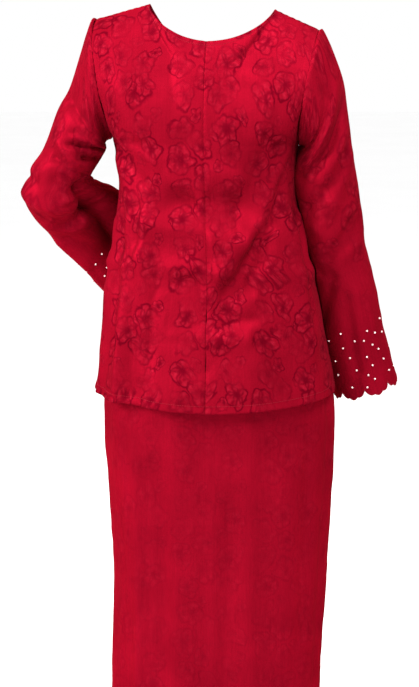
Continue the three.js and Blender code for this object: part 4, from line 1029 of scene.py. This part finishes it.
for side, name in SIDE_NAMES.items():
    grid, uv, _ = quarters[side, BACK]
    piece = cloth_piece(f"tunic_back_{name}", grid, uv, np.ones(grid.shape[:2]), TUNIC_MIDDLE)

grid, uv, _ = (np.concatenate([left[:, ::-1], right[:, 1:]], axis=1)
               for left, right in zip(quarters[LEFT, FRONT], quarters[RIGHT, FRONT]))
piece = cloth_piece("tunic_front", grid, uv, np.ones(grid.shape[:2]), TUNIC_MIDDLE)

for (side, face), (grid, _, normals) in quarters.items():
    place = f"{SIDE_NAMES[side]}_{FACE_NAMES[face]}"
    stitched_line(f"tunic_hem_stitches_{place}", *level_line(grid, normals, HEM_DEPTH), "tunic_cloth")
    neck_columns = int(NECK_SHARE * grid.shape[1])
    line, out = level_line(grid[::-1], normals[::-1], NECK_STITCHES)
    stitched_line(f"neck_stitches_{place}", line[:neck_columns], out[:neck_columns], "tunic_cloth")

# Sleeves ----------------------------------------------------------------------

SLEEVE_COLUMNS, SLEEVE_ROWS = 256, 150
CAP_CROWD = 0.02  # share of the sleeve over which its rows crowd towards the armhole
CAP_SEAM = 0.6  # the armhole's seam is shallower than the others
HEM_DROP_FROM = 0.9  # the scallops' drop grows from here to the edge
HEM_ROWS = 5  # the last rows, which give the direction in which the hem hangs
SLEEVE_BLOOM, BLOOM_LOST, BLOOM_FADES = 0.7, 0.93, (0.42, 0.78)  # flowers fade down the sleeve
SLEEVE_WALK = 509  # length of the sleeve down its middle
PEARL_RADIUS, PEARL_TIP, PEARL_RINGS, PEARL_SIDES = 1.65, 0.1, 7, 8
PEARL_PROUD = 0.85  # share of a pearl's radius by which its middle stands over the cloth

# Pearls on the half of a cuff over the back: degrees round the arm and height above the edge. The half over
# the front has the same ones, a little displaced.
PEARLS = [
    (24, 125), (64, 120), (109, 120), (50, 112), (73, 107), (139, 107), (27, 105), (87, 105), (111, 97),
    (61, 95), (50, 84), (75, 79), (103, 77), (8, 76), (133, 72), (44, 64), (69, 62), (160, 60), (95, 54),
    (133, 43), (79, 43), (35, 38), (12, 36), (70, 33), (109, 25), (85, 18),
]
FRONT_PEARLS_TURN = 187  # a front pearl's angle is this less than the back one's


def make_sleeve(side, rings, folds, creases, node):
    """A sleeve's cloth, its overcast edge and its pearls."""
    columns = np.arange(SLEEVE_COLUMNS) / SLEEVE_COLUMNS
    turn = lerp(-HALF_TURN, HALF_TURN, columns)
    at = crowded(SLEEVE_ROWS, CAP_CROWD, near_end=False)
    grid = sleeve_surface(side, rings, folds, creases, turn, at)
    centre = grid.mean(axis=1, keepdims=True)
    v = lengths_along(centre, 0)[..., 0][:, None]
    girth = girths(grid)
    u = girth * (np.append(columns, 1)[None] - 0.5)
    uv = np.stack(np.broadcast_arrays(u, -v), axis=-1)

    from_seam = girth * (0.5 - np.abs(columns - 0.5))
    height = cloth_unevenness(u[:, :-1], v, SLEEVE_SEED + side) * smooth(at, 0, 2 * CAP_CROWD)[:, None]
    height += seam_line(from_seam, v) + seam_line(v, u[:, :-1]) * CAP_SEAM
    down = unit(centre[-1:] - centre[-1 - HEM_ROWS:-HEM_ROWS])
    reach = scallop_reach(turn)[None] * smooth(at, HEM_DROP_FROM, 1)[:, None]
    normals = outward_normals(grid, centre, closed=True)
    grid = grid + normals * height[..., None] + down * reach[..., None]
    bloom = SLEEVE_BLOOM * (1 - BLOOM_LOST * smooth(at, *BLOOM_FADES))[:, None] * np.ones(SLEEVE_COLUMNS)
    piece = cloth_piece(node, grid, uv, bloom, centre, closed=True)
    overcast_edge(f"{node}_edge", grid[-1], normals[-1], "sleeve_cloth")

    back = np.array(PEARLS, float)
    degrees, above = np.concatenate([back, back - np.array([FRONT_PEARLS_TURN, 0])]).T
    row = np.round(np.interp(1 - above / SLEEVE_WALK, at, np.arange(len(at)))).astype(int)
    column = np.round((degrees / 360 + 0.5) % 1 * SLEEVE_COLUMNS).astype(int) % SLEEVE_COLUMNS
    out = normals[row, column]
    along = unit(np.cross(out, down[0, 0]))
    profile = [(-PEARL_RADIUS * math.cos(t), max(PEARL_RADIUS * math.sin(t), PEARL_TIP))
               for t in np.linspace(0, math.pi, PEARL_RINGS)]
    shape, faces = rounded(profile, PEARL_SIDES)
    middles = grid[row, column] + out * PEARL_RADIUS * PEARL_PROUD
    beads = copies(shape, faces, middles, np.cross(along, out), along, out)
    trim_piece(f"{node}_pearls", *beads, pearl, "sleeve_cloth")


make_sleeve(LEFT, LEFT_SLEEVE, LEFT_SLEEVE_FOLDS, LEFT_SLEEVE_CREASES, "sleeve_left")
make_sleeve(RIGHT, PRESSED_SLEEVE, RIGHT_SLEEVE_FOLDS, RIGHT_SLEEVE_CREASES, "sleeve_right")

# Skirt ------------------------------------------------------------------------

SKIRT_COLUMNS, SKIRT_ROWS, SKIRT_HEM_CROWD = 72, 190, 0.02
SKIRT_BLOOM = 0.28
BAND_COLUMNS, BAND_ROWS, BAND_CROWD = 240, 14, 0.1
BAND_WALL, BAND_SEAM_GAP, BAND_STITCHES = 2.4, 0.3, 3
BAND_LUMPS, BAND_ROLL = (17, 0.5), 1.2  # size and height of its unevenness, and how far its edges roll in


def skirt_rows(on_left, angle, level):
    """The skirt's surface as a grid, rows at levels and columns at angles, each on its own side."""
    left, right = (skirt_surface(side, angle[None], level[:, None]) for side in (LEFT, RIGHT))
    return np.where(on_left[None, :, None], left, right)


def skirt_panel(face):
    """A skirt panel as a grid, rows from the hem up, with its cloth coordinates and its normals."""
    half = crowded(SKIRT_COLUMNS, SEAM_CROWD, near_start=False)
    share = np.concatenate([-half[::-1], half[1:]])
    rows = crowded(SKIRT_ROWS, SKIRT_HEM_CROWD, near_end=False)
    level = lerp(SKIRT_HEM, SKIRT_TOP - BAND_HEIGHT, rows)
    grid = skirt_rows(share <= 0, angle_at(face, np.abs(share)), level)
    walked = lengths_along(grid, 1)
    u = walked - walked[:, [len(share) // 2]]
    v = level[:, None] * np.ones(len(share))
    height = cloth_unevenness(u, v, SKIRT_SEED + face) + hem_relief(v - SKIRT_HEM, u)
    height += seam_line(walked, v) + seam_line(walked[:, -1:] - walked, v)
    normals = outward_normals(grid, grid * ONLY_LEVEL)
    return grid + normals * height[..., None], np.stack([-face * u, v], axis=-1), normals


panels = {face: skirt_panel(face) for face in (BACK, FRONT)}
for seam in (0, -1):
    draw_together(panels[BACK][0], panels[FRONT][0], seam)
for face, name in FACE_NAMES.items():
    grid, uv, normals = panels[face]
    bloom = SKIRT_BLOOM * np.ones(grid.shape[:2])
    piece = cloth_piece(f"skirt_{name}", grid, uv, bloom, SKIRT_MIDDLE)
    stitched_line(f"skirt_hem_stitches_{name}", *level_line(grid, normals, HEM_DEPTH), "skirt_cloth")

# The waistband: a closed tube of doubled cloth round the top of the skirt, stitched along its lower edge
round_waist = np.arange(BAND_COLUMNS) / BAND_COLUMNS * FULL_TURN
level = lerp(SKIRT_TOP - BAND_HEIGHT + BAND_SEAM_GAP, SKIRT_TOP, crowded(BAND_ROWS, BAND_CROWD))
band = skirt_rows(round_waist <= HALF_TURN, np.minimum(round_waist, FULL_TURN - round_waist), level)
u, v = girths(band) * np.arange(BAND_COLUMNS + 1)[None] / BAND_COLUMNS, level[:, None]
normals = outward_normals(band, band * ONLY_LEVEL, closed=True)
from_middle = (level - SKIRT_TOP + BAND_HEIGHT / 2) / (BAND_HEIGHT / 2)
lumps = BAND_LUMPS[1] * unevenness(u[:, :-1], v, BAND_LUMPS[0], BAND_SEED)
band = band + normals * (lumps - BAND_ROLL * from_middle[:, None] ** 8)[..., None]
bloom = SKIRT_BLOOM * np.ones(band.shape[:2])
piece = cloth_piece("skirt_waistband", band, np.stack(np.broadcast_arrays(u, v), axis=-1), bloom,
                    BAND_MIDDLE, closed=True, thickness=BAND_WALL)
round_band = (np.append(rows, rows[:1], axis=0) for rows in level_line(band, normals, BAND_STITCHES))
stitched_line("waistband_stitches", *round_band, "skirt_cloth")

# Studio -----------------------------------------------------------------------

FLOOR_LEVEL, FLOOR_SIDE = -1360, 80000.0
VIEW_TARGET, VIEW_DISTANCE = (4, 0, -530), 2600
VIEW_AZIMUTH, VIEW_ELEVATION = 184.5, 12
FOCAL_SHARE = 3.8783  # focal length over the picture's width
SENSOR = 36.0
FAR_CLIP = 20  # metres
LAMP_TARGET = (0, 0, -450)
Lamp = namedtuple("Lamp", "name azimuth elevation distance size watts")
LAMPS = [
    Lamp("key", 118, 27, 2600, 800, 98),
    Lamp("top", 208, 60, 1900, 900, 48),
    Lamp("front", 20, 35, 3000, 1800, 45),
]


def stand(name, data, azimuth, elevation, distance, target):
    """Stands a camera or lamp that looks at its target with its top upwards. Azimuth 0 is straight in front
    of the wearer, and both angles are in degrees."""
    turn, climb = math.radians(azimuth), math.radians(elevation)
    towards = np.array([math.sin(turn) * math.cos(climb), -math.cos(turn) * math.cos(climb), math.sin(climb)])
    place = np.array(target) + distance * towards
    thing = bpy.data.objects.new(name, data)
    bpy.context.scene.collection.objects.link(thing)
    thing.location = Vector(place) * MM
    thing.rotation_euler = Vector(np.subtract(target, place)).to_track_quat("-Z", "Y").to_euler()
    return thing


camera_data = bpy.data.cameras.new("camera")
camera_data.sensor_fit = "HORIZONTAL"
camera_data.sensor_width = SENSOR
camera_data.lens = SENSOR * FOCAL_SHARE
camera_data.clip_end = FAR_CLIP
bpy.context.scene.camera = stand("camera", camera_data, VIEW_AZIMUTH, VIEW_ELEVATION, VIEW_DISTANCE,
                                 VIEW_TARGET)

for lamp in LAMPS:
    light = bpy.data.lights.new(lamp.name, "AREA")
    light.size = lamp.size * MM
    light.energy = lamp.watts
    stand(lamp.name, light, lamp.azimuth, lamp.elevation, lamp.distance, LAMP_TARGET)


def studio_material():
    """Paper backdrop, rolled: a matt, nearly white sheet with the faintest mottling."""
    material, tree = new_material("backdrop paper, rolled")
    place = add(tree, "ShaderNodeTexCoord").outputs["Object"]
    grain = add(tree, NOISE, {"Vector": place, "Scale": 1 / (PAPER_GRAIN * MM), "Detail": 2})
    tint = add(tree, MIX, {0: grain, FIRST: linear("#fafafa"), SECOND: linear("#ffffff")}, data_type="RGBA")
    shader = add(tree, SHADER, {
        "Base Color": tint.outputs[MIXED], "Roughness": 0.9, "Specular IOR Level": 0.1})
    add(tree, OUTPUT, {"Surface": shader})
    return material


floor_corners = np.array([[-1, -1, 0], [1, -1, 0], [1, 1, 0], [-1, 1, 0]]) * FLOOR_SIDE / 2
floor = make_mesh("studio_floor", floor_corners + FLOOR_LEVEL * ONLY_LEVEL, np.array([[0, 1, 2, 3]]))
floor.data.materials.append(studio_material())

world = bpy.data.worlds.new("studio air")
world.use_nodes = True
air = world.node_tree.nodes["Background"].inputs
air["Color"].default_value = linear("#ffffff")
air["Strength"].default_value = 1.0
bpy.context.scene.world = world
bpy.context.scene.view_settings.view_transform = "Standard"

# Update -----------------------------------------------------------------------

bpy.context.view_layer.update()
